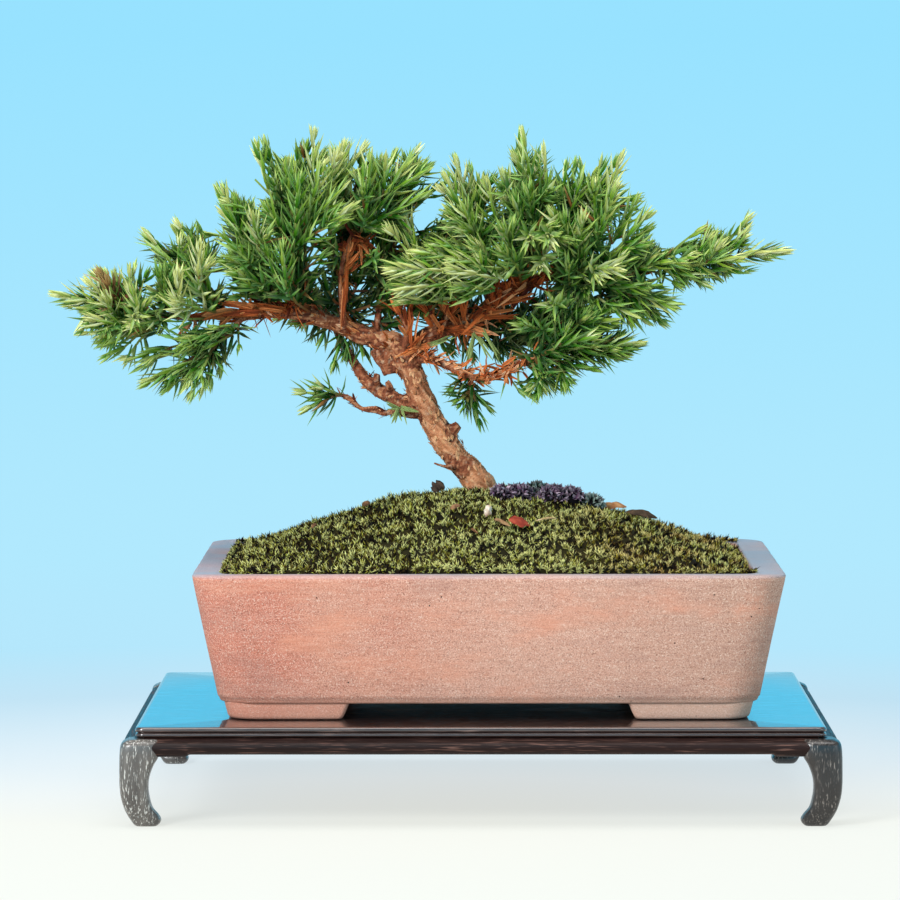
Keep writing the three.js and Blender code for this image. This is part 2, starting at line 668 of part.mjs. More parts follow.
function shootNeedles({ curve, whorls }) {
  return Array.from({ length: whorls - 1 }, (_, i) => i + 1).flatMap((ring) => {
    const angle = ring === whorls - 1 ? LAST_NEEDLE_ANGLE : NEEDLE_ANGLE;
    const turned = 30 + 60 * (whorls - ring);
    return [0, 120, 240].map((step) =>
      needleOn(curve, (ring + NEEDLE_SHIFT) / whorls, step + turned, angle, NEEDLE_LONG),
    );
  });
}

// A line cut into straight pieces, which is how closeness is tested.
function segmentsOf({ curve, radiusAt }, pieces, owner) {
  return Array.from({ length: pieces }, (_, i) => ({
    start: curve.getPoint(i / pieces),
    end: curve.getPoint((i + 1) / pieces),
    radius: radiusAt((i + 0.5) / pieces),
    owner,
  }));
}

// WOOD

const limbLines = Object.fromEntries(
  Object.entries(LIMBS).map(([name, points]) => [name, knobbly(limbLine(points))]),
);
const rootLines = ROOTS.map(limbLine);

function limbSteps(name) {
  if (name === "trunk") return TRUNK_STEPS;
  return name === "left" || name === "right" ? MAIN_LIMB_STEPS : LIMB_STEPS;
}

// The same line, thicker all round and longer at both ends.
function thicker({ curve, radiusAt }, grow) {
  const beyond = (t) => (t === 1 ? grow : t === 0 ? -grow : 0);
  const longer = {
    getPoint: (t) => curve.getPoint(t).addScaledVector(curve.getTangent(t), beyond(t)),
    getTangent: (t) => curve.getTangent(t),
  };
  return { curve: longer, radiusAt: (t) => radiusAt(t) + grow };
}

// Every limb and root as bars, each made thicker by grow.
function woodBars(grow) {
  const limbs = Object.entries(limbLines).map(([name, line]) =>
    solidOf(barGeometry(thicker(line, grow), ...limbSteps(name))),
  );
  const roots = rootLines.map((line) => solidOf(barGeometry(thicker(line, grow), ...ROOT_STEPS)));
  return [...limbs, ...roots];
}

// Dry needles stand round their limb a golden angle apart. To grow them is to make each of them
// longer and thicker, which leaves room round them in what they pass through.
function dryNeedles(grow) {
  const goldenAngle = 137.5;
  return DRY_NEEDLES.flatMap(([limb, from, to, count]) =>
    Array.from({ length: count }, (_, i) => {
      const t = THREE.MathUtils.lerp(from, to, i / (count - 1));
      const { curve, radiusAt } = limbLines[limb];
      const long = DRY_NEEDLE_LONG + radiusAt(t) + 3 * grow;
      const radius = DRY_NEEDLE_RADIUS + 2 * grow;
      return needleOn(curve, t, goldenAngle * i, DRY_NEEDLE_ANGLE, long, radius);
    }),
  );
}

const prunedStub = solidOf(barGeometry(limbLine(PRUNED_STUB), ...STUB_STEPS));
const dry = dryNeedles(0);
const solidsOf = (needles) => needles.map((one) => one.solid());
const wood = wasm.Manifold.union([...woodBars(0), prunedStub, ...solidsOf(dry)]);
const woodClear = wasm.Manifold.union([...woodBars(GAP), ...solidsOf(dryNeedles(GAP))]);

// SOIL AND MOSS

// Height of the planted surface: a dome that rises from the rim to the foot of the trunk.
function moundZ(x, y) {
  const across = Math.cos((Math.PI / 2) * Math.min(1, Math.abs(x - POT_X) / MOUND_HALF[0]));
  const along = Math.cos((Math.PI / 2) * Math.min(1, Math.abs(y) / MOUND_HALF[1]));
  return MOUND_EDGE_Z + MOUND_HIGH * (across * along) ** MOUND_POWER;
}

// Moss grows in rounded cushions, a little over a centimetre across: a wave along X times one
// along Y, both of which wander, and a weaker ripple that runs aslant. The divisors are in
// millimetres, and a wave repeats after 2 * PI of them.
function mossLump(x, y) {
  const wide = Math.sin(x / 4.6 + Math.sin(y / 9)) * Math.sin(y / 4.1 + Math.sin(x / 11));
  return MOSS_LUMP * (wide + 0.4 * Math.sin(x / 7.3 - y / 8.1));
}

// A block with a flat bottom whose top follows a height rule. It is wider than the cavity.
function heightBlock(lowZ, height, [columns, rows]) {
  const [wide, deep] = CAVITY_TOP.map((size) => size + 8 * BEYOND);
  const geometry = new THREE.BoxGeometry(wide, deep, 2, columns, rows, 1);
  return solidOf(
    reshape(onStand(geometry), (point) => {
      point.z = point.z > 0 ? height(point.x, point.y) : lowZ;
    }),
  );
}

const soilTop = (x, y) => moundZ(x, y) - MOSS_THICK;
// The room for the planting goes on above the rim, higher than the mound.
const planting = solidOf(onStand(cavity(GAP, RIM_Z + MOUND_HIGH + 4 * BEYOND)));

function soilSolid() {
  let soil = heightBlock(CAVITY_FLOOR_Z - BEYOND, soilTop, SOIL_GRID).intersect(planting);
  for (const x of [-DRAIN_X, DRAIN_X]) {
    const side = NET_SIDE + 2 * GAP;
    const top = CAVITY_FLOOR_Z + NET_THICK + 2 * GAP;
    const pocket = cuboid(side, side, 2 * (top - CAVITY_FLOOR_Z), x, 0, CAVITY_FLOOR_Z);
    soil = soil.subtract(solidOf(onStand(pocket)));
  }
  return largestBody(soil.subtract(woodClear));
}

function mossSolid() {
  const lumpy = (x, y) => moundZ(x, y) + mossLump(x, y);
  const carpet = heightBlock(RIM_Z - 8, lumpy, MOSS_GRID).intersect(planting);
  const under = heightBlock(RIM_Z - 20, (x, y) => soilTop(x, y) + GAP, SOIL_GRID);
  return largestBody(carpet.subtract(under).subtract(woodClear));
}

// FOLIAGE

const woodSegments = [
  ...Object.values(limbLines).flatMap((line) => segmentsOf(line, 10, "wood")),
  ...dry.map(({ start, end, radius }) => ({ start, end, radius, owner: "wood" })),
];

const boughLines = Object.entries(BOUGHS).map(([name, { twig, shoots }]) => {
  const twigLine = limbLine(twig);
  return { name, twigLine, shootLines: shoots.map((shoot) => shootLine(twigLine, shoot)) };
});

const stemSegments = boughLines.flatMap(({ name, twigLine, shootLines }) => [
  ...segmentsOf(twigLine, 4, `${name} twig`),
  ...shootLines.flatMap((line, i) => segmentsOf(line, 4, `${name} ${i}`)),
]);

// Needles are placed one after another, and one that would run into another stem, a limb, the
// moss or a needle already there is left out.
const placedNeedles = [];

function isClear(candidate, owner) {
  const tooClose = (other) =>
    other.owner !== owner &&
    segmentDistance(candidate, other) < candidate.radius + other.radius + NEEDLE_CLEAR;
  const { x, y, z } = candidate.end;
  if (z <= moundZ(x, y) + NEEDLE_ABOVE_MOSS) return false;
  return ![...stemSegments, ...woodSegments, ...placedNeedles].some(tooClose);
}

function boughGeometry({ name, twigLine, shootLines }) {
  const parts = [solidOf(barGeometry(twigLine, ...TWIG_STEPS))];
  shootLines.forEach((line, i) => {
    const owner = `${name} ${i}`;
    parts.push(shootStem(line));
    for (const candidate of shootNeedles(line)) {
      if (!isClear(candidate, owner)) continue;
      placedNeedles.push({ ...candidate, owner });
      parts.push(candidate.solid());
    }
  });
  return geometryOf(largestBody(wasm.Manifold.union(parts).subtract(woodClear)));
}

// ASSEMBLY

const finish = {
  hardwood: new THREE.MeshStandardMaterial({ color: 0x2b1d19, roughness: 0.28 }),
  clay: new THREE.MeshStandardMaterial({ color: 0xb98672, roughness: 0.8 }),
  net: new THREE.MeshStandardMaterial({ color: 0x22252a, roughness: 0.6 }),
  soil: new THREE.MeshStandardMaterial({ color: 0x5a4030, roughness: 0.95 }),
  moss: new THREE.MeshStandardMaterial({ color: 0x55652a, roughness: 0.95 }),
  bark: new THREE.MeshStandardMaterial({ color: 0x8a5a3e, roughness: 0.9 }),
  foliage: new THREE.MeshStandardMaterial({ color: 0x3f7a34, roughness: 0.5 }),
};

const part = new THREE.Group();

function addPiece(name, geometry, material) {
  const mesh = new THREE.Mesh(geometry, material);
  mesh.name = name;
  part.add(mesh);
}

for (const [corner, sides] of Object.entries(CORNERS)) {
  addPiece(`stand_leg_${corner}`, legGeometry(sides), finish.hardwood);
}
const longApron = apronGeometry(STAND_HALF_X - LEG_WIDE - GAP, STAND_HALF_Y);
const shortApron = apronGeometry(STAND_HALF_Y - LEG_WIDE - GAP, STAND_HALF_X);
addPiece("stand_apron_front", longApron, finish.hardwood);
addPiece("stand_apron_back", longApron.clone().rotateZ(Math.PI), finish.hardwood);
addPiece("stand_apron_right", shortApron.clone().rotateZ(Math.PI / 2), finish.hardwood);
addPiece("stand_apron_left", shortApron.clone().rotateZ(-Math.PI / 2), finish.hardwood);
addPiece("stand_panel", panelGeometry(), finish.hardwood);
addPiece("pot", potGeometry(), finish.clay);
addPiece("drain_net_left", netGeometry(-DRAIN_X), finish.net);
addPiece("drain_net_right", netGeometry(DRAIN_X), finish.net);
addPiece("soil", geometryOf(soilSolid()), finish.soil);
addPiece("moss", geometryOf(mossSolid()), finish.moss);
addPiece("trunk_and_limbs", geometryOf(wood), finish.bark);
for (const bough of boughLines) {
  addPiece(`bough_${bough.name}`, boughGeometry(bough), finish.foliage);
}

const middle = new THREE.Box3().setFromObject(part).getCenter(new THREE.Vector3());
part.position.set(-middle.x, -middle.y, 0);

export default part;
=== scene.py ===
# %% [markdown]
# # A small garden juniper in a clay pot
# The shapes of this bonsai were first made as plain solids. Here each of them gets the surface
# that the real thing has: lacquer, fired clay, moss, flaky bark and some thousands of needles.
# The solids come in as a fixed frame that nothing moves. Everything new is worked out in
# millimetres round the middle of the stand, and is set on the frame as it is put into Blender.
# %% The frame
import math
from functools import partial

import bmesh
import bpy
import numpy as np
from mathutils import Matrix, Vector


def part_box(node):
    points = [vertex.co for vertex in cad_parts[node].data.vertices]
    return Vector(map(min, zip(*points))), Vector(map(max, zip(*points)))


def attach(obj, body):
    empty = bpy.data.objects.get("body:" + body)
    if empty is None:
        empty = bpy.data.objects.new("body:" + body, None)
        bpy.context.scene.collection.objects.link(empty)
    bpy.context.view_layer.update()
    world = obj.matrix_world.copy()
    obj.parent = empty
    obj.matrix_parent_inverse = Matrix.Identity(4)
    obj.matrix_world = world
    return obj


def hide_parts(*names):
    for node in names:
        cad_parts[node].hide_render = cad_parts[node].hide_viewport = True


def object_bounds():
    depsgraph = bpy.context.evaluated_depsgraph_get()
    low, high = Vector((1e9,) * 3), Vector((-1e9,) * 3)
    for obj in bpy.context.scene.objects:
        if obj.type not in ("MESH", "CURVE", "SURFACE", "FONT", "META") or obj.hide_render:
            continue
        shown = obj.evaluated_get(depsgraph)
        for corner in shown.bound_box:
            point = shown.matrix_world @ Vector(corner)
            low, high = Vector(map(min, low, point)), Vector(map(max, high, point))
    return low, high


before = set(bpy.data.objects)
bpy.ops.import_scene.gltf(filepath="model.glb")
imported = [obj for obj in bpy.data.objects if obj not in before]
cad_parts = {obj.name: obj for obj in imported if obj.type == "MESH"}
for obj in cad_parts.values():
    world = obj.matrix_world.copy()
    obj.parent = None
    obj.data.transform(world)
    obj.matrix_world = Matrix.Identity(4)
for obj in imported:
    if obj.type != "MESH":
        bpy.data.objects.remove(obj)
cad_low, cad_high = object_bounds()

MM = 0.001
panel_low, panel_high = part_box("stand_panel")
STAND_MIDDLE = np.array([panel_low.x + panel_high.x, panel_low.y + panel_high.y, 0]) / 2 / MM
UP = np.array([0.0, 0.0, 1.0])
print("the stand's middle is at", STAND_MIDDLE.round(2), "mm")

# %% [markdown]
# ## The camera
# A product photograph of a small tree is taken from far off with a long lens, so that the pot
# looks almost square on. The rim shows just enough of its far side to place the eye: 1.65 m in
# front of the tree and level with its top, looking a little down.
# %% The camera
EYE = (-2.97, -1653.8, 211.3)
LOOKING_DOWN, LOOKING_LEFT, LEANING = 0.0619, 0.0039, 0.001
lens = bpy.data.cameras.new("long_lens")
lens.lens, lens.sensor_width = 209.8, 36
lens.clip_end = 20
camera = bpy.data.objects.new("camera", lens)
camera.location = (np.array(EYE) + STAND_MIDDLE) * MM
camera.rotation_euler = (math.pi / 2 - LOOKING_DOWN, LEANING, LOOKING_LEFT)
bpy.context.scene.collection.objects.link(camera)
bpy.context.scene.camera = camera
print("camera", tuple(round(value, 3) for value in camera.location))

# %% [markdown]
# ## Surfaces from arrays
# Most pieces here are skins over a stack of rings, like a vase on a wheel or a sleeve round a
# twig. A ring is a row of points, and a stack of rings is one numpy array, so a whole shape is
# bent, swollen or roughened in one go. Two poles close the skin, and its signed volume tells
# whether the faces point outwards.
# %% Skins, joins and meshes
def grid_faces(rows, columns, closed=True):
    """Four-cornered faces of a grid numbered row by row. If closed, the last column joins the
    first."""
    row, column = np.meshgrid(
        np.arange(rows - 1), np.arange(columns if closed else columns - 1), indexing="ij"
    )
    after = (column + 1) % columns
    corners = (row * columns + column, row * columns + after,
               (row + 1) * columns + after, (row + 1) * columns + column)
    return np.stack(corners, -1).reshape(-1, 4)


def facing_out(points, faces):
    """Signed volume is a sixth of the sum of a . (b x c) over all triangles; if it is negative,
    every face is read backwards."""
    triangles = np.vstack(
        [f[:, [0, i, i + 1]] for f in faces for i in range(1, f.shape[1] - 1)]
    )
    a, b, c = (points[triangles[:, k]] for k in range(3))
    inside_out = np.einsum("ij,ij->i", a, np.cross(b, c)).sum() < 0
    return points, [f[:, ::-1] for f in faces] if inside_out else faces


def skin(rings):
    """Faces between each ring and the next, and a fan from a pole in the middle of the first and
    the last ring. rings has the shape (rings, points round, 3)."""
    count, around = rings.shape[:2]
    poles = [rings[0].mean(0), rings[-1].mean(0)]
    ring = np.arange(around)
    after, last = np.roll(ring, -1), (count - 1) * around
    start = np.stack([after, ring, np.full(around, count * around)], 1)
    end = np.stack([ring + last, after + last, np.full(around, count * around + 1)], 1)
    points = np.vstack([rings.reshape(-1, 3), poles])
    return facing_out(points, [grid_faces(count, around), np.vstack([start, end])])


def joined(shapes):
    """Several (points, faces) shapes as one: each shape's face numbers go up by the points
    before it."""
    starts = np.cumsum([0] + [len(points) for points, _ in shapes[:-1]])
    faces = [f + start for (_, each), start in zip(shapes, starts) for f in each]
    return np.vstack([points for points, _ in shapes]), faces


def put(name, shape, material, stands_for=(), tint=None, sharp=40):
    """A shape in millimetres as a Blender object that rides with the part. tint is a linear
    colour for each point, and edges steeper than sharp degrees stay crisp."""
    points, faces = shape
    mesh = bpy.data.meshes.new(name)
    mesh.vertices.add(len(points))
    mesh.vertices.foreach_set("co", ((points + STAND_MIDDLE) * MM).ravel())
    sizes = np.concatenate([np.full(len(f), f.shape[1]) for f in faces])
    corners = np.concatenate([f.ravel() for f in faces])
    mesh.loops.add(len(corners))
    mesh.loops.foreach_set("vertex_index", corners)
    mesh.polygons.add(len(sizes))
    mesh.polygons.foreach_set("loop_start", np.cumsum(sizes) - sizes)
    mesh.update(calc_edges=True)
    mesh.shade_smooth()
    mesh.set_sharp_from_angle(angle=math.radians(sharp))
    if tint is not None:
        colours = mesh.attributes.new("tint", "FLOAT_COLOR", "POINT").data
        colours.foreach_set("color", np.column_stack([tint, np.ones(len(tint))]).ravel())
    mesh.materials.append(material)
    piece = bpy.data.objects.new(name, mesh)
    bpy.context.scene.collection.objects.link(piece)
    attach(piece, "root")
    if stands_for:
        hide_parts(*stands_for)
    print(f"{name}: {len(points)} points, {int((sizes - 2).sum())} triangles")
    return piece


# %% [markdown]
# ## Unevenness
# Nothing here is quite regular: clay is pressed by hand, moss grows in cushions, bark flakes.
# All of it starts from one thing, random heights on a cubic lattice, blended smoothly in between.
# The lattice's size is the size of the lumps in millimetres.
# %% Lumps
def lumps(points, size, seed=0):
    """Value noise from 0 to 1. Each lattice corner gets a number hashed from its place, and the
    eight round a point are mixed by smooth weights w = p * p * (3 - 2 * p), p being the share of
    the way across the cell."""
    place = points / size
    low = np.floor(place).astype(np.int64)
    part = place - low
    part = part * part * (3 - 2 * part)
    total = np.zeros(len(points))
    for corner in np.ndindex(2, 2, 2):
        key = (low + corner) @ np.array([73856093, 19349663, 83492791]) + seed * 40503
        key = (key ^ (key >> 13)) * 1274126177 & 0xFFFFFFFF
        key = (key ^ (key >> 16)) * 2246822519 & 0xFFFFFFFF
        total += np.where(corner, part, 1 - part).prod(1) * ((key ^ (key >> 15)) & 0xFFFF) / 0xFFFF
    return total


def layered(points, size, seed=0):
    """Three lumps fields, each half as large and half as strong as the one before."""
    return sum(lumps(points, size / 2**k, seed + k) / 2**k for k in range(3)) / 1.75


# %% [markdown]
# ## Materials
# Colours are picked as the eye sees them, in hex, and turned to the linear values that a shader
# works in. One small function adds a node, gives it its settings and plugs in what feeds it.
# Object coordinates are in metres, so a pattern that repeats every `size` millimetres has a
# noise scale of 1000 / size. A pattern that is drawn out along an axis reads places that are
# pressed together along it.
# %% Colours and nodes
def linear(hex_colour):
    """sRGB hex to linear: v / 12.92 up to 0.04045, else ((v + 0.055) / 1.055) ** 2.4."""
    values = np.array([int(hex_colour[i:i + 2], 16) for i in (1, 3, 5)]) / 255
    return np.where(values <= 0.04045, values / 12.92, ((values + 0.055) / 1.055) ** 2.4)


def rgba(hex_colour):
    return (*linear(hex_colour), 1)


def plug(socket, value):
    """Gives a socket a value, or another node's output."""
    if isinstance(value, bpy.types.NodeSocket):
        socket.id_data.links.new(value, socket)
    else:
        socket.default_value = value


def add_node(tree, kind, *inputs, out=0, stops=(), **named):
    """Adds a shader node and returns one of its outputs. inputs fill the sockets that the node
    shows, in order. A name with a capital is a socket, any other name is a setting, and stops
    are the (place, hex colour) pairs of a ramp."""
    node = tree.nodes.new("ShaderNode" + kind)
    for name, value in named.items():
        if name[0].isupper():
            plug(node.inputs[name], value)
        else:
            setattr(node, name, value)
    for socket, value in zip([socket for socket in node.inputs if socket.enabled], inputs):
        plug(socket, value)
    if stops:
        elements = node.color_ramp.elements
        while len(elements) < len(stops):
            elements.new(0.5)
        for element, (position, colour) in zip(elements, stops):
            element.position, element.color = position, rgba(colour)
    shown = [socket for socket in node.outputs if socket.enabled]
    return node.outputs[out] if isinstance(out, str) else shown[out]


def per(size):
    """The noise scale for a pattern of that size in millimetres."""
    return 1 / (size * MM)


def finish(shader, **surface):
    """Sets the shader's sockets, whose names have a space for each underscore."""
    for name, value in surface.items():
        plug(shader.inputs[name.replace("_", " ")], value)


def new_material(name, **surface):
    """A material with a Principled shader. Returns (material, shader, add, place), where add
    adds a node to it and place is the object's own coordinates."""
    material = bpy.data.materials.new(name)
    material.use_nodes = True
    shader = material.node_tree.nodes["Principled BSDF"]
    finish(shader, **surface)
    add = partial(add_node, material.node_tree)
    return material, shader, add, add("TexCoord", out="Object")


def coated(add, colour, *coats):
    """Lays coats over a colour. A coat is (the share that it covers, its colour), and each colour
    is a hex value or another node's output."""
    for share, coat in coats:
        both = [rgba(c) if isinstance(c, str) else c for c in (colour, coat)]
        colour = add("Mix", share, *both, data_type="RGBA")
    return colour


# %% [markdown]
# ## Hardwood, lacquered and worn
# The stand is rosewood stained almost black. Its top is coated with clear lacquer, which mirrors
# the room, and its rails and legs are only waxed. Rosewood's pores are long strokes along the
# grain, and handling has rubbed the wax pale on the legs. The grain follows each board's length,
# so there is one material for each direction.
# %% Hardwood
def hardwood(name, pressed, dark, light, rubbed, wear, **surface):
    """Ground from dark to light, rubbed strokes 0.5 mm wide along the grain, and pressed-in pores.
    wear is the share of the surface where the strokes show, and pressed says how far places are
    pressed together along each axis."""
    material, shader, add, place = new_material(name, **surface)
    along_grain = add("Mapping", place, Scale=pressed)
    ground = add("TexNoise", along_grain, per(7), 4, 0.6)
    strokes = add("TexNoise", along_grain, per(0.5), 2, 0.7)
    pale = add("MapRange", strokes, 0.56, 0.68)
    worn = add("MapRange", add("TexNoise", place, per(11), 3), 0.75 - wear, 0.95 - wear)
    share = add("Math", pale, worn, operation="MULTIPLY")
    tone = add("ValToRGB", ground, stops=[(0.3, dark), (0.7, light)])
    rough = surface["Roughness"]
    finish(
        shader, Base_Color=coated(add, tone, (share, rubbed)),
        Roughness=add("MapRange", strokes, 0.3, 0.7, rough - 0.1, rough + 0.12),
        Normal=add("Bump", Height=strokes, Distance=0.04 * MM),
    )
    return material


ALONG_X, ALONG_Y, UPRIGHT = (1 / 24, 1, 1), (1, 1 / 24, 1), (1, 1, 1 / 7)
WAXED = ("#0e0605", "#24110d", "#63443a", 0.42)
WAX = dict(Roughness=0.46, Specular_IOR_Level=0.18)
LACQUERED = hardwood("lacquered_rosewood", ALONG_X, "#140b0a", "#35201b", "#6d5248", 0.4,
                     Roughness=0.3, Coat_Weight=1.0, Coat_Roughness=0.025, Coat_IOR=1.6)
LONG_GRAIN = hardwood("waxed_rosewood_lengthwise", ALONG_X, *WAXED, **WAX)
CROSS_GRAIN = hardwood("waxed_rosewood_crosswise", ALONG_Y, *WAXED, **WAX)
# The legs on the left are painted paler and greyer than those on the right, as painted light
# and painted reflection from the left.
LEG_FINISH = dict(Roughness=0.36, Specular_IOR_Level=0.5, Coat_Weight=0.25, Coat_Roughness=0.2)
LEG_GRAIN = {
    side: hardwood(name, UPRIGHT, *tones, **LEG_FINISH) for side, name, tones in (
        (-1, "rosewood_upright_painted_lit", ("#302926", "#6b625b", "#c8c0b6", 0.45)),
        (1, "waxed_rosewood_upright", ("#15100e", "#2c2522", "#8f8177", 0.36)),
    )
}

# %% [markdown]
# ## The stand's panel
# A board with a moulded edge: a bead below, a fine groove, and a rounded lip above. It is a stack
# of rounded rectangles, each drawn in from the board's edge by the depth of the moulding there.
# An arc that fills a square corner C runs through C + (1 - sin a) * r * back + (1 - cos a) * r *
# on, where back and on point along the two sides that meet there.
# %% The panel
STAND_HALF = np.array([109.0, 85.5])
PANEL_INSET = 4.6


def rounded(corners, radii, steps=8, fill=10):
    """An outline with arcs for corners and `fill` points along each straight part."""
    corners = np.asarray(corners, float)
    radii = np.broadcast_to(radii, len(corners))[:, None, None]
    back = np.roll(corners, 1, 0) - corners
    on = np.roll(corners, -1, 0) - corners
    back, on = (d / np.linalg.norm(d, axis=1, keepdims=True) for d in (back, on))
    a = np.linspace(0, math.pi / 2, steps + 1)[None, :, None]
    arcs = radii * ((1 - np.sin(a)) * back[:, None] + (1 - np.cos(a)) * on[:, None])
    arcs = corners[:, None] + arcs
    share = (np.arange(1, fill + 1) / (fill + 1))[None, :, None]
    straight = arcs[:, -1:] * (1 - share) + np.roll(arcs, -1, 0)[:, :1] * share
    return np.concatenate([arcs, straight], 1).reshape(-1, 2)


def rectangle(half, radius, **points):
    x, y = half
    return rounded([(x, -y), (x, y), (-x, y), (-x, -y)], radius, **points)


def level(outline, z):
    """A flat outline lifted to a height."""
    return np.column_stack([outline, np.broadcast_to(z, len(outline))])


PANEL_MOULDING = [  # how far in, height
    (1.3, 26.8), (0.8, 26.85), (0.35, 27.05), (0.1, 27.4), (0.1, 27.8), (0.35, 28.15), (0.75, 28.3),
    (0.45, 28.42), (0.1, 28.7), (0, 29.1), (0.06, 29.45), (0.3, 29.78), (0.7, 29.95), (1.2, 30),
]
panel_rings = [
    level(rectangle(STAND_HALF - PANEL_INSET - inset, 2.6 - inset * 0.5), z)
    for inset, z in PANEL_MOULDING
]
put("lacquered_panel", skin(np.array(panel_rings)), LACQUERED, ["stand_panel"])

# %% [markdown]
# ## Apron rails
# Each rail has a swelling outer face, and above it a hollow that runs up under the panel, so that
# no light falls through. It is one cross-section carried along the rail. The lower edge steps
# down a little near the legs, where the carver left a small bracket, and the rail's ends run
# 5 mm into the legs as tenons.
# %% The aprons
APRON_BOTTOM_Z = 22.0
BRACKET_LONG, BRACKET_DROP, BRACKET_SLOPE, TENON = 9, 0.7, 1.4, 5
LEG_WIDE, GAP = 12, 0.3
APRON_PROFILE = np.array([  # inset from the outer face, share of the height
    (7, 0), (3, 0), (2.2, 0.02), (1.7, 0.07), (1.2, 0.16), (0.75, 0.28), (0.5, 0.42), (0.5, 0.56),
    (0.8, 0.69), (1.4, 0.78), (2.3, 0.84), (3.3, 0.89), (4.2, 0.95), (4.9, 0.985), (5.6, 1), (7, 1),
])
APRON_TOP_Z = 26.74


def apron(half_length, outer_face):
    """The profile at every place along the rail, its height stretched from the lower edge up. The
    lower edge drops by a smooth step near each end."""
    along = np.concatenate([
        np.linspace(-1, -0.86, 24), np.linspace(-0.85, 0.85, 40), np.linspace(0.86, 1, 24)
    ])
    along = along * (half_length + TENON)
    step = np.clip((np.abs(along) - half_length + BRACKET_LONG) / BRACKET_SLOPE, 0, 1)
    low = APRON_BOTTOM_Z - BRACKET_DROP * step * step * (3 - 2 * step)
    inset, up = APRON_PROFILE.T
    z = low[:, None] + up[None, :] * (APRON_TOP_Z - low)[:, None]
    return np.stack(np.broadcast_arrays(along[:, None], inset - outer_face, z), -1)


def turned(rings, quarter_turns):
    """Rings turned about the Z axis by right angles."""
    c, s = [(1, 0), (0, 1), (-1, 0), (0, -1)][quarter_turns % 4]
    return rings @ np.array([[c, s, 0], [-s, c, 0], [0, 0, 1]])


long_rail = apron(STAND_HALF[0] - LEG_WIDE - GAP, STAND_HALF[1])
short_rail = apron(STAND_HALF[1] - LEG_WIDE - GAP, STAND_HALF[0])
for side, rail, turns, grain in (
    ("front", long_rail, 0, LONG_GRAIN), ("right", short_rail, 1, CROSS_GRAIN),
    ("back", long_rail, 2, LONG_GRAIN), ("left", short_rail, 3, CROSS_GRAIN),
):
    put(f"apron_{side}", skin(turned(rail, turns)), grain, [f"stand_apron_{side}"])

# %% [markdown]
# ## Legs
# The legs bulge under the panel, narrow below the knee and turn in at the foot. Seen from above
# each is a square with very round corners, |x|**n + |y|**n = 1, and its outer and inner faces
# follow two smooth lines through a few measured heights.
# %% The legs
LEG_OUTLINE = np.array([  # height, inset of the outer face, inset of the inner face
    [0, 4.4, 11.4], [1.5, 3.4, 12.3], [3.2, 2.4, 11.6], [5.6, 1.35, 9.9], [9, 0.45, 9.0],
    [12, 0.1, 8.7], [15, 0, 9.0], [18.4, 0, 10.2], [21, 0, 11.7], [23.6, 0.15, 12.1],
    [25.4, 0.6, 12.1], [26.5, 1.9, 12],
])
LEG_SECTION = 0.5


def smooth_line(points, t):
    """Catmull-Rom: between points b and c, (2w3 - 3w2 + 1)b + (w3 - 2w2 + w)(c - a)/2
    + (3w2 - 2w3)c + (w3 - w2)(d - b)/2. The first and last point are mirrored to reach past."""
    points = np.asarray(points, float)
    far = np.vstack([2 * points[0] - points[1], points, 2 * points[-1] - points[-2]])
    place = np.clip(t, 0, 1) * (len(points) - 1)
    low = np.minimum(place.astype(int), len(points) - 2)
    w = (place - low)[:, None]
    a, b, c, d = (far[low + k] for k in range(4))
    w2, w3 = w * w, w * w * w
    return ((2 * w3 - 3 * w2 + 1) * b + (w3 - 2 * w2 + w) * (c - a) / 2
            + (3 * w2 - 2 * w3) * c + (w3 - w2) * (d - b) / 2)


def leg(side_x, side_y):
    """Rings of |cos a|**p and |sin a|**p with their signs, set between the two faces."""
    z, outer, inner = smooth_line(LEG_OUTLINE, np.linspace(0, 1, 50)).T
    # The top edge and the sole are rounded over.
    soft = 0.8 * np.clip((z - 25.6) / 0.8, 0, 1) ** 2 + 0.6 * np.clip((0.7 - z) / 0.7, 0, 1) ** 2
    outer, inner = outer + soft * 0.6, inner - soft * 0.6
    a = np.linspace(0, 2 * math.pi, 48, endpoint=False)
    round_x, round_y = (np.sign(f(a)) * np.abs(f(a)) ** LEG_SECTION for f in (np.cos, np.sin))
    half, middle = (inner - outer)[:, None] / 2, (inner + outer)[:, None] / 2
    x = side_x * (STAND_HALF[0] - middle + round_x * half)
    y = side_y * (STAND_HALF[1] - middle + round_y * half)
    return np.stack([x, y, np.broadcast_to(z[:, None], x.shape)], -1)


for corner, sides in {
    "front_left": (-1, -1), "front_right": (1, -1), "back_left": (-1, 1), "back_right": (1, 1)
}.items():
    grain = LEG_GRAIN[sides[0]]
    put(f"leg_{corner}", skin(leg(*sides)), grain, [f"stand_leg_{corner}"])

# %% [markdown]
# ## Unglazed clay
# The pot is stoneware fired without a glaze. Iron in the clay fires from brick red on the side
# that faced the flame to a greyish beige, fine grog shows as pale specks about 0.4 mm across,
# and tiny pits are dark. The rim's top is a smoother grey-blue, and the feet are painted lighter
# as painted light. The surface is matt.
# %% Unglazed clay
POT_X = 2.5
POT_BASE_Z, POT_FLOOR_Z, CAVITY_FLOOR_Z, RIM_Z = 30.3, 35.3, 40.3, 75
# Heights and depths between which the clay's look changes, in millimetres: the feet's painted
# light, the grey-blue on the rim, and the rim's front edge, where the grey-blue fades.
FEET_PAINTED_LIGHT_Z, RIM_GREY_Z, RIM_GREY_Y = (37.2, 35.2), (73.8, 74.7), (-71, -62)


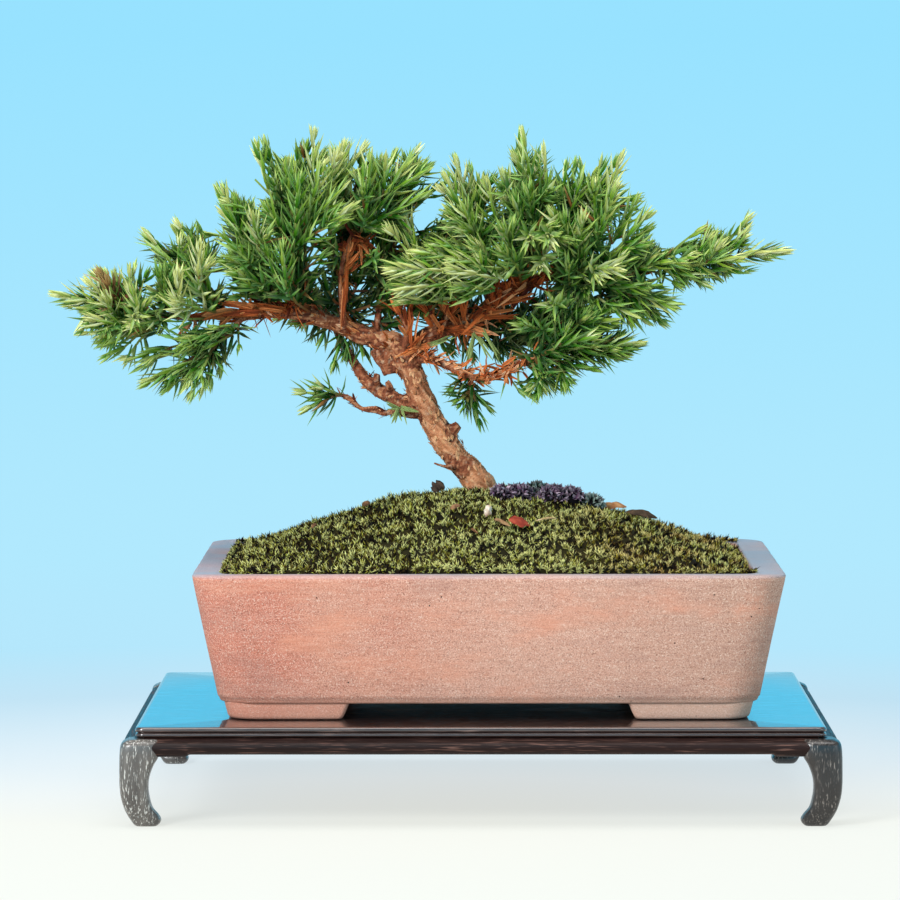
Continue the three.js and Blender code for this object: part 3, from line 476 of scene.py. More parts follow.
def unglazed_clay():
    material, shader, add, place = new_material(
        "unglazed_stoneware", Roughness=0.85, Specular_IOR_Level=0.3
    )
    x, y, z = (add("SeparateXYZ", place, out=axis) for axis in "XYZ")
    feet_painted_light_z, rim_grey_z, rim_grey_y = (np.array(ends) * MM for ends in (FEET_PAINTED_LIGHT_Z, RIM_GREY_Z, RIM_GREY_Y))
    # The flame's side: redder towards the left, in clouds.
    middle = (STAND_MIDDLE[0] + POT_X) * MM
    cloud = add("TexNoise", place, per(26), 3, 0.55)
    across = add("MapRange", x, middle - 0.09, middle + 0.09)
    drift = add("Math", cloud, 0.55, -0.27, operation="MULTIPLY_ADD")
    flame = add("Math", across, drift, operation="ADD")
    body = add("ValToRGB", flame, stops=[
        (0.0, "#c67660"), (0.28, "#ca8972"), (0.6, "#cc957f"), (1.0, "#bd8d78"),
    ])
    grain = add("TexNoise", place, per(0.38), 2, 0.75)
    smudge = add("TexNoise", add("Mapping", place, Scale=(0.4, 0.4, 1)), per(17), 4, 0.6)
    # A wet hand wiped along the walls before the firing.
    wiped = add("TexNoise", add("Mapping", place, Scale=(1 / 12, 1 / 12, 1)), per(0.7), 2, 0.6)
    pit = add("MapRange", add("TexVoronoi", place, per(6)), 0.05, 0.025)
    # The feet are painted lighter, paler towards the right: painted light, standing for the light
    # that the lacquer throws back.
    glow = add("MapRange", z, *feet_painted_light_z, 0, 0.45)
    # The rim's top turns a smoother grey-blue, less so near its front edge and in places.
    rim_grey = add("MapRange", z, *rim_grey_z)
    for share in (
        add("MapRange", cloud, 0.3, 0.6, 0.55, 0.92), add("MapRange", y, *rim_grey_y, 0.4, 1.0)
    ):
        rim_grey = add("Math", rim_grey, share, operation="MULTIPLY")
    body = coated(
        add, body,
        (add("MapRange", grain, 0.54, 0.68, 0, 0.62), "#efdac8"),
        (add("MapRange", grain, 0.46, 0.33, 0, 0.75), "#6e4436"),
        (add("MapRange", smudge, 0.52, 0.68, 0, 0.5), "#9a7266"),
        (add("MapRange", smudge, 0.47, 0.33, 0, 0.55), "#d98c6e"),
        (add("MapRange", wiped, 0.52, 0.72, 0, 0.16), "#e6c4b0"),
        (add("MapRange", wiped, 0.48, 0.3, 0, 0.16), "#8b5f50"),
        (pit, "#3f2a24"),
        (glow, coated(add, "#df8c70", (across, "#f2c6ac"))),
        (rim_grey, "#848f9c"),
    )
    height = add("Math", grain, pit, operation="SUBTRACT")
    finish(shader, Base_Color=body, Roughness=add("MapRange", rim_grey, 0, 1, 0.88, 0.6),
           Normal=add("Bump", Height=height, Distance=0.2 * MM))
    return material


CLAY = unglazed_clay()

# %% [markdown]
# ## The pot
# A tapered tray with round corners, thick walls and a flat rim. It is one stack of rounded
# rectangles: up from the middle of the inside floor, over the rim, down the outside and in again
# under the floor. Pressed clay is never quite flat, so the walls get lumps of a few hundredths
# of a millimetre. Two drain holes are cut through the floor.
# %% The pot's body
POT_CORNER, HIGHEST_LUMP = 12, 0.05


def pot_rows():
    """Rows of (half width, half depth, corner radius, height), from inside to outside."""
    inside = [(60, 42, 4, CAVITY_FLOOR_Z), (74.2, 56.2, 4.5, CAVITY_FLOOR_Z),
              (75.3, 57.3, 5, CAVITY_FLOOR_Z + 0.6)]
    up = np.linspace(0.04, 0.975, 16)
    wall = [(75.5 + 6 * u, 57.5 + 6 * u, 5, CAVITY_FLOOR_Z + 34.7 * u) for u in up]
    rim = [(81.55, 63.55, 5, 74.5), (81.8, 63.8, 5.3, 74.85), (82.3, 64.3, 5.8, 75.0),
           (84, 66, 7, 75.0), (87, 69, 9.5, 75.0), (89.4, 71.4, 11.4, 75.0),
           (89.95, 71.95, 11.8, 74.9), (90.3, 72.3, 12, 74.65), (90.5, 72.5, 12, 74.2)]
    down = np.linspace(0.98, 0.045, 40)
    outside = [
        (82.75 + 7.75 * u, 64.75 + 7.75 * u, POT_CORNER - 1 + u, POT_FLOOR_Z + 38.7 * u)
        for u in down
    ]
    under = [(82.7, 64.7, 11, 36.7), (82.5, 64.5, 11, 36.0), (82.1, 64.1, 10.8, 35.5),
             (81.4, 63.4, 10.5, POT_FLOOR_Z), (60, 45, 6, POT_FLOOR_Z)]
    return inside + wall + rim + outside + under


pot_rings = np.array(
    [level(rectangle((x, y), r, steps=10, fill=36), z) for x, y, r, z in pot_rows()]
)
flat = pot_rings.reshape(-1, 3)
pressed = 0.35 * (layered(flat, 30, 3) - 0.5) + 0.12 * (lumps(flat, 5, 9) - 0.5)
radial = flat * [1, 1, 0]
radial /= np.linalg.norm(radial, axis=1, keepdims=True) + 1e-9
flat = flat + radial * np.minimum(pressed, HIGHEST_LUMP)[:, None]
pot_body = skin(flat.reshape(pot_rings.shape))


# An L-shaped foot: its outer corner, its gap to the next foot, and its inner corner.
FOOT_OUTSIDE, FOOT_GAP, FOOT_INSIDE = np.array([[81, 63.5], [42.5, 26], [69.5, 52]])
FOOT_TAPER, FOOT_FLARE = 1.2, 2.2
FOOT_ROWS = [  # share of the height, how far the edge is rounded off there
    (1.12, 0), (0.9, 0), (0.6, 0), (0.35, 0), (0.2, 0.03), (0.1, 0.15), (0.03, 0.4), (0, 0.8),
]


def foot(side_x, side_y):
    """An L-shaped foot. Lower rows draw in by the taper, and the gap between feet flares."""
    rows = []
    for up, edge in FOOT_ROWS:
        ox, oy = FOOT_OUTSIDE - FOOT_TAPER * (1 - up) - edge
        gx, gy = FOOT_GAP + FOOT_FLARE * (1 - up) + edge
        ix, iy = FOOT_INSIDE + edge
        corners = [(gx, iy), (ix, iy), (ix, gy), (ox, gy), (ox, oy), (gx, oy)]
        outline = rounded(corners, [1, 2.5, 1, 1.5, 8, 1.5], steps=6, fill=4)
        rows.append(level(outline, POT_BASE_Z + up * (POT_FLOOR_Z - POT_BASE_Z)))
    points, faces = skin(np.array(rows))
    # The fan that closes an L has to see every edge, so its pole lies in the elbow.
    points[-2:, :2] = [75.0, 57.5]
    return facing_out(points * [side_x, side_y, 1], faces)


def on_pot(shape):
    """Pot pieces are made round the pot's own middle, which is a little right of the stand's."""
    return shape[0] + [POT_X, 0, 0], shape[1]


pot = put("clay_pot", on_pot(pot_body), CLAY, ["pot"], sharp=50)

# %% The drain holes
DRAIN_X, DRAIN_RADIUS = 38, 6


def drain_cutters():
    """Two upright cylinders of 40 sides through the floor."""
    a = np.linspace(0, 2 * math.pi, 40, endpoint=False)
    circle = DRAIN_RADIUS * np.column_stack([np.cos(a), np.sin(a)])
    return joined([
        skin(np.array([level(circle + [x, 0], z) for z in (POT_FLOOR_Z - 2, CAVITY_FLOOR_Z + 2)]))
        for x in (-DRAIN_X, DRAIN_X)
    ])


def with_feet(piece, hole_shape, foot_shape):
    """Takes one shape out of a piece with a Boolean, and then adds another as it is."""
    cutter = put("cutter", hole_shape, CLAY)
    added = put("added", foot_shape, CLAY, sharp=50)
    boolean = piece.modifiers.new("cut", "BOOLEAN")
    boolean.object, boolean.operation, boolean.solver = cutter, "DIFFERENCE", "EXACT"
    finished = piece.evaluated_get(bpy.context.evaluated_depsgraph_get())
    made = bpy.data.meshes.new_from_object(finished)
    piece.modifiers.clear()
    both = bmesh.new()
    both.from_mesh(made)
    both.from_mesh(added.data)
    both.to_mesh(made)
    both.free()
    piece.data = made
    for helper in (cutter, added):
        bpy.data.objects.remove(helper)
    print(f"{piece.name}: {len(made.polygons)} faces with holes and feet")


feet = joined([foot(x, y) for x in (-1, 1) for y in (-1, 1)])
with_feet(pot, on_pot(drain_cutters()), on_pot(feet))

# %% [markdown]
# ## Moss, soil and nets
# Moss over the soil is a mat of thousands of upright stems, each ringed by tiny pointed leaves
# whose tips are yellow-green. Between them it is nearly black, partly dark old moss and partly
# painted shade. Two layers give that look: a dark lumpy cushion, its near-black partly painted
# shade, and the leaves as real blades, because their tips make the ragged outline.
# %% The planted mound
MOUND_HIGH, MOUND_HALF, MOUND_POWER = 21.5, np.array([84.5, 67.0]), 1.1
MOUND_EDGE_Z, MOSS_THICK = RIM_Z + 0.5, 3.2


def mound(x, y):
    """Dome: edge + high * (cos across * cos along) ** power, the cosines reaching 0 at the rim,
    plus cushions, the product of two slowly warped sine waves. The moss has sunk by 1 mm, by
    another where it slopes away to the right, and by 2 at both ends of the pot."""
    across = np.cos(math.pi / 2 * np.minimum(1, np.abs(x - POT_X) / MOUND_HALF[0]))
    along = np.cos(math.pi / 2 * np.minimum(1, np.abs(y) / MOUND_HALF[1]))
    cushions = np.sin(x / 4.6 + np.sin(y / 9)) * np.sin(y / 4.1 + np.sin(x / 11))
    cushions = cushions + 0.4 * np.sin(x / 7.3 - y / 8.1)
    sunk = np.minimum(1, (across * along) * 4) * (1 + np.clip((x - 20) / 30, 0, 1))
    sunk = sunk + 1.9 * np.clip((np.abs(x - POT_X) - 71) / 9, 0, 1)
    return MOUND_EDGE_Z + MOUND_HIGH * (across * along) ** MOUND_POWER + cushions - sunk


def matt(name, roughness, specular=0.2):
    """A matt surface, and as its last item the tint of each point."""
    surface = new_material(name, Roughness=roughness, Specular_IOR_Level=specular)
    return *surface, surface[2]("VertexColor", layer_name="tint")


def shaded(add, tint, shade):
    """The tint times a shade of grey."""
    grey = add("CombineColor", shade, shade, shade)
    return add("Mix", 1.0, tint, grey, data_type="RGBA", blend_type="MULTIPLY")


def moss_material():
    material, shader, add, place, tint = matt("living_moss", 0.75, 0.08)
    dapple = add("MapRange", add("TexNoise", place, per(1.2), 2), 0.3, 0.7, 0.75, 1.2)
    finish(shader, Base_Color=shaded(add, tint, dapple))
    return material


MOSS = moss_material()
TUFT_WIDE, TUFT_HIGH = 2.6, 1.6
CUSHION_HALF, CUSHION_CORNER, CUSHION_BOTTOM_Z = np.array([81.2, 63.2]), 5, 68.5


def moss_top(x, y):
    """The mound, raised and sunk by tufts of moss: high * (noise - 0.8)."""
    spots = np.column_stack([x, y, np.zeros(np.shape(x))])
    return mound(x, y) + TUFT_HIGH * (lumps(spots, TUFT_WIDE, 5) - 0.8)


def moss_cushion():
    """Rings from the middle of the top to its edge, down the side and back in underneath."""
    shares = np.concatenate([np.linspace(0.03, 0.97, 60), [0.99, 1.0]])
    top = np.array([
        level(rectangle(CUSHION_HALF * s, max(0.5, CUSHION_CORNER * s), fill=30), 0) for s in shares
    ])
    top[..., 0] += POT_X
    top[..., 2] = moss_top(*top.reshape(-1, 3)[:, :2].T).reshape(top.shape[:2])
    foot = level((top[-1, :, :2] - [POT_X, 0]) * 0.985 + [POT_X, 0], CUSHION_BOTTOM_Z)
    under = top[::-6].copy()
    low = mound(under[..., 0], under[..., 1]) - MOSS_THICK - 1
    under[..., 2] = np.maximum(low, CUSHION_BOTTOM_Z)
    under[..., :2] = (under[..., :2] - [POT_X, 0]) * 0.98 + [POT_X, 0]
    return skin(np.concatenate([top, [top[-1] - [0, 0, 0.4], foot], under]))


moss_shape = moss_cushion()
# The cushion's near-black is partly the dark ground and partly painted shade between the stems.
ground = np.clip(layered(moss_shape[0], 6, 2)[:, None] * 1.6 - 0.5, 0, 1)
ground_and_painted_shade_tint = linear("#110f08") * (1 - ground) + linear("#383114") * ground
put("moss_cushion", moss_shape, MOSS, ["moss"], tint=ground_and_painted_shade_tint)

# %% [markdown]
# ## Blades
# A moss leaf, a juniper needle and a dry scale are the same shape in different proportions: a
# slim closed blade, keeled below and channelled above, that ends in a point. All blades of a
# piece are worked out together, as one array with a row for each blade.
# %% Blades
def unit(vectors):
    return vectors / (np.linalg.norm(vectors, axis=-1, keepdims=True) + 1e-9)


def blades(start, direction, below, length, width, bend=0.0, rows=((0, 0.7), (0.36, 1)), keel=0.4):
    """Each row is (share of the length, share of the width) and has three points: one margin, the
    keel and the other margin. The line bends away from `below` by bend * share**2. A single row
    gives the plainest blade, a spike of four triangles."""
    across = unit(np.cross(direction, below))
    below = np.cross(across, direction)
    length, width, bend = (
        np.broadcast_to(value, len(start))[:, None] for value in (length, width, bend)
    )
    rings = []
    for share, wide in rows:
        centre = start + direction * length * share - below * bend * share**2 * length
        half = width * wide / 2
        rings.append(np.stack([centre - across * half, centre + below * half * 2 * keel,
                               centre + across * half], 1))
    tip = (start + direction * length - below * bend * length)[:, None]
    count = 3 * len(rows) + 1
    points = np.concatenate([*rings, tip], 1).reshape(-1, 3)
    ring = np.arange(3) + 3 * (len(rows) - 1)
    ends = np.vstack([np.stack([ring, np.roll(ring, -1), np.full(3, count - 1)], 1), [[2, 1, 0]]])
    starts = (np.arange(len(start)) * count)[:, None, None]
    parts = [f for f in (grid_faces(len(rows), 3), ends) if len(f)]
    return facing_out(points, [(f + starts).reshape(-1, f.shape[1]) for f in parts])


def blade_tints(colour, blade_points, feet=1.0):
    """One colour for each blade, repeated for its points. The first three, its foot, are darker by
    the factor feet: painted shade at the foot.
    """
    tint = np.repeat(colour, blade_points, 0).reshape(-1, blade_points, 3)
    tint[:, :3] *= feet
    return tint


# %% [markdown]
# ## The moss's leaves
# The stems stand 1.7 mm apart on a jittered grid. From each spring eight leaves, one upright and
# seven leaning out all round like a star. Leaf tips catch the light, their feet are darkened as
# painted shade, and some stems are bright yellow-green while their neighbours have dried to
# brown. Three more rows of stems run round the edge, where the moss leans over the rim.
# %% The moss's leaves
def blend(share, *colours):
    """Colours along a scale from 0 to 1, evenly spaced and mixed in between."""
    place = np.clip(share, 0, 1) * (len(colours) - 1)
    low = np.minimum(place.astype(int), len(colours) - 2)
    table = np.array([linear(colour) for colour in colours])
    return table[low] + (table[low + 1] - table[low]) * (place - low)[:, None]


STEM_PITCH = 1.72


def moss_stems(low_x, high_x, random):
    """Where the stems stand and which way they grow: square to the mound, or outwards at its
    edge."""
    half_y = CUSHION_HALF[1]
    x, y = np.meshgrid(np.arange(low_x, high_x, STEM_PITCH),
                       np.arange(0.4 - half_y, half_y - 0.3, STEM_PITCH * 0.92))
    spots = np.column_stack([x.ravel(), y.ravel()]) + random.uniform(-0.8, 0.8, (x.size, 2))
    local = np.abs(spots - [POT_X, 0])
    corner = np.maximum(local - (CUSHION_HALF - CUSHION_CORNER), 0)
    on_top = (local < CUSHION_HALF - 0.3).all(1) & (np.linalg.norm(corner, axis=1) < 4.8)
    spots = spots[on_top]
    ground = level(spots, moss_top(*spots.T) - 0.3)
    step = 0.5
    slope = np.column_stack([
        mound(spots[:, 0] - step, spots[:, 1]) - mound(spots[:, 0] + step, spots[:, 1]),
        mound(spots[:, 0], spots[:, 1] - step) - mound(spots[:, 0], spots[:, 1] + step),
        np.full(len(spots), 2 * step * 1.6),
    ])
    edge = rectangle(CUSHION_HALF - 0.2, CUSHION_CORNER, steps=8, fill=64) + [POT_X, 0]
    edge = edge[(edge[:, 0] >= low_x) & (edge[:, 0] < high_x)]
    for drop, upwards in ((0.0, 0.6), (0.6, 0.3), (1.2, 0.1)):
        rim = level(edge, mound(*edge.T) - drop) + random.uniform(-0.3, 0.3, (len(edge), 3))
        rim[:, 2] = np.maximum(rim[:, 2], RIM_Z + 0.2)
        outwards = unit((rim - [POT_X, 0, 0]) * [1 / 81**2, 1 / 63**2, 0])
        ground = np.vstack([ground, rim])
        slope = np.vstack([slope, outwards + UP * upwards])
    return ground, unit(unit(slope) + random.normal(0, 0.2, slope.shape))


MOSS_TIPS = ("#1b110a", "#573e1b", "#8a7d2b", "#bfbe45", "#eeea94")


def moss_leaves(low_x, high_x, seed):
    """Leaf directions are the stem's plus a sideways lean, turned by a seventh of a circle each."""
    random = np.random.default_rng(seed)
    ground, grow = moss_stems(low_x, high_x, random)
    count, x = len(ground), ground[:, 0]
    vigour = random.uniform(0.5, 1.05, count) * (0.75 + 0.5 * lumps(ground, 5, 11))
    lively = 0.24 + 0.5 * layered(ground, 8, 21) + random.normal(0, 0.22, count) + 0.0004 * x
    # The middle is painted brighter, as painted light, and the slope to the right dries out first.
    lively += 0.14 * np.exp(-((x - 5) / 30) ** 2)
    dry = np.clip((x - 15) / 40, 0, 1) * np.clip(layered(ground, 9, 51) * 3 - 1.1, 0, 1)
    dry = 0.8 * dry[:, None]
    vigour *= np.clip(0.55 + (CUSHION_HALF[0] - np.abs(x - POT_X)) / 12, 0.55, 1)
    first = unit(np.cross(grow, [1.0, 0, 0]))
    second = np.cross(grow, first)
    spin = random.uniform(0, 2 * math.pi, count)
    leaves, tints = [], []
    for k in range(8):
        turn = spin + k * 2 * math.pi / 7 + random.normal(0, 0.2, count)
        side = first * np.cos(turn)[:, None] + second * np.sin(turn)[:, None]
        lean = 0.1 if k == 7 else 0.95
        way = unit(grow + side * (lean * random.uniform(0.5, 1.4, count))[:, None])
        up_stem = random.uniform(0.1, 1.3, count) * (0.3 + k % 3 * 0.35)
        long = vigour * random.uniform(1.3, 2.4, count)
        wide = random.uniform(0.42, 0.7, count) * np.sqrt(vigour)
        below = unit(np.cross(way, np.cross(side, way)))
        foot = ground + grow * up_stem[:, None]
        leaves.append(blades(foot, way, below, long, wide, 0, ((0, 1),)))
        tip = blend(lively * 3.4 - 1.31 + random.normal(0, 0.5, count), *MOSS_TIPS)
        tip = tip * (1 - dry) + tip * [0.95, 0.6, 0.6] * dry
        # Each leaf's foot is darkened to 0.3 of its colour as painted shade.
        tints.append(blade_tints(tip, 4, 0.3).reshape(-1, 3))
    return joined(leaves), np.vstack(tints)


for part, low_x, high_x, seed in (
    ("left", POT_X - 81, POT_X, 31), ("right", POT_X, POT_X + 81, 32)
):
    leaves, leaf_tint = moss_leaves(low_x, high_x, seed)
    put(f"moss_leaves_{part}", leaves, MOSS, tint=leaf_tint, sharp=180)

# %% [markdown]
# ## Soil and drain nets
# Both keep their solids, since the moss hides one and the pot the other. Bonsai soil is crumbly
# baked clay in grains of 2 to 3 mm. The nets are moulded black polyethylene, faintly shiny.
# %% Soil and nets
def crumbly_soil():
    material, shader, add, place = new_material("crumbly_soil", Roughness=0.95)
    crumb = add("TexVoronoi", place, per(2.6))
    colour = add("ValToRGB", crumb, stops=[(0.0, "#7b5a41"), (0.45, "#5c412f"), (0.8, "#2c1f17")])
    round_top = add("MapRange", crumb, 0, 0.8, 1, 0)
    finish(shader, Base_Color=colour, Normal=add("Bump", Height=round_top, Distance=0.6 * MM))
    return material


def moulded_net():
    material, shader, add, place = new_material("moulded_polyethylene", Roughness=0.5)
    clouds, skin_grain = (add("TexNoise", place, per(size), 3) for size in (1.5, 0.6))
    finish(shader, Base_Color=add("ValToRGB", clouds, stops=[(0.3, "#1b1d20"), (0.7, "#2b2e32")]),
           Normal=add("Bump", Height=skin_grain, Distance=0.03 * MM))
    return material


SOIL, NET = crumbly_soil(), moulded_net()
for node, material in (("soil", SOIL), ("drain_net_left", NET), ("drain_net_right", NET)):
    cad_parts[node].data.materials.clear()
    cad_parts[node].data.materials.append(material)

# %% [markdown]
# ## The tree's wood
# The middle lines of trunk, limbs and twigs are listed point by point, with a radius at each.
# They become sleeves, and a voxel remesh melts the sleeves together, so that the crotches swell as
# grown wood does. Bark is then a rough skin pushed in and out along the wood.
# %% Limbs, roots and twigs
ROOTS = [
    [[6, 0, 80, 4.2], [14, -8, 72, 2.6], [28, -16, 64, 1.6], [42, -22, 58, 0.9]],
    [[6, 0, 80, 4.2], [16, 8, 72, 2.6], [30, 18, 62, 1.7], [46, 24, 56, 0.9]],
    [[5, 0, 80, 4.0], [-6, 10, 71, 2.4], [-20, 20, 62, 1.6], [-36, 26, 55, 0.9]],
    [[5, 0, 80, 4.0], [-8, -8, 72, 2.4], [-22, -17, 63, 1.5], [-38, -24, 56, 0.9]],
    [[6, 0, 80, 4.4], [8, -2, 66, 3.0], [4, -4, 54, 1.6]],
]
LIMBS = {
    "trunk": [[6, 0, 77, 6.0], [4, 0, 90, 4.9], [-1, -1, 99, 4.5], [-8.5, -2, 108, 4.1],
        [-14, -2, 116.5, 3.9], [-18.5, -2, 125, 3.8], [-22, -1, 134, 4.1], [-26, 0, 141, 4.3],
        [-31.5, 0, 143.5, 3.4]],
    "crotch": [[-31, 0, 141, 3.4], [-28, 0, 133, 2.5]],
    "left": [[-26, 0, 140, 4.0], [-32, 0, 143.5, 3.3], [-38.5, 0, 146, 2.9], [-46.5, -1, 149, 2.5],
        [-55, -2, 151.5, 2.2], [-64, -3, 152.5, 1.9], [-73, -4, 151.5, 1.6], [-81, -4, 152, 1.4],
        [-89, -5, 150.5, 1.1]],
    "right": [[-25, 0, 138, 3.4], [-15, -1, 145.5, 2.8], [-6, -2, 148.5, 2.5], [2, -3, 152, 2.3],
        [9, -3, 158, 2.0], [16, -2, 162, 1.8], [24.5, -1, 165, 1.5], [36, 0, 168, 1.2]],
    "low_right": [[-24, -1, 137, 2.4], [-17, -5, 138, 1.6], [-10.5, -8, 136, 1.3],
        [-3, -10, 132.5, 1.2], [5, -11, 132.5, 1.1], [11, -11, 135.5, 1.1], [17, -11, 138, 0.9]],
    "low_left": [[-18, -2, 123.5, 2.8], [-25, 0, 124.5, 2.5], [-31, 2, 127, 2.3],
        [-35, 4, 130, 2.1], [-37.5, 5, 132.5, 1.8], [-40.5, 7, 137, 1.6], [-43.5, 9, 142, 1.4],
        [-47, 13, 149, 1.0]],
    "peg_outer": [[-33, 2, 128.5, 1.6], [-32.6, -1, 131.6, 1.2], [-32.3, -1.5, 133, 1.0]],
    "peg_inner": [[-28, 1, 126, 1.5], [-28.6, -1, 129, 1.1], [-29.4, -1.5, 130.6, 0.9]],
    "low_twig": [[-20, -2, 120.5, 1.7], [-24, -4, 120.4, 1.1], [-27, -5, 121.4, 1.3],
        [-30, -5.6, 120.8, 0.9], [-33, -6, 121.8, 1.2], [-37.5, -6, 122.3, 0.8],
        [-40.5, -6, 125, 1.0], [-43.5, -6, 126.5, 0.7]],
    "dead_upright": [[-43, -2, 147, 1.3], [-43.5, -6, 157, 0.9], [-43.5, -8, 166, 0.8],
        [-41.5, -9, 174, 0.7], [-40, -9, 178, 0.4]],
    "dead_fork": [[-24, -3, 141, 1.4], [-23, -6, 147, 1.0], [-25, -8, 152, 0.7],
        [-26, -9, 156, 0.4]],
    "dead_right": [[-14, -2, 146, 1.2], [-15, -6, 151, 0.8], [-17, -9, 155, 0.4]],
    "dead_crotch": [[-13, -2, 146, 1.2], [-10, -5, 152, 0.8], [-7, -8, 156, 0.4]],
    "pruned_stub": [[-11, -2, 112, 2.4], [-8.2, -2.5, 115.5, 1.9], [-6.8, -2.7, 117, 1.5]],
    "spur": [[-6, -3, 104, 1.2], [-10.6, -7, 104, 0.7], [-14.7, -8, 105.2, 0.35]],
}

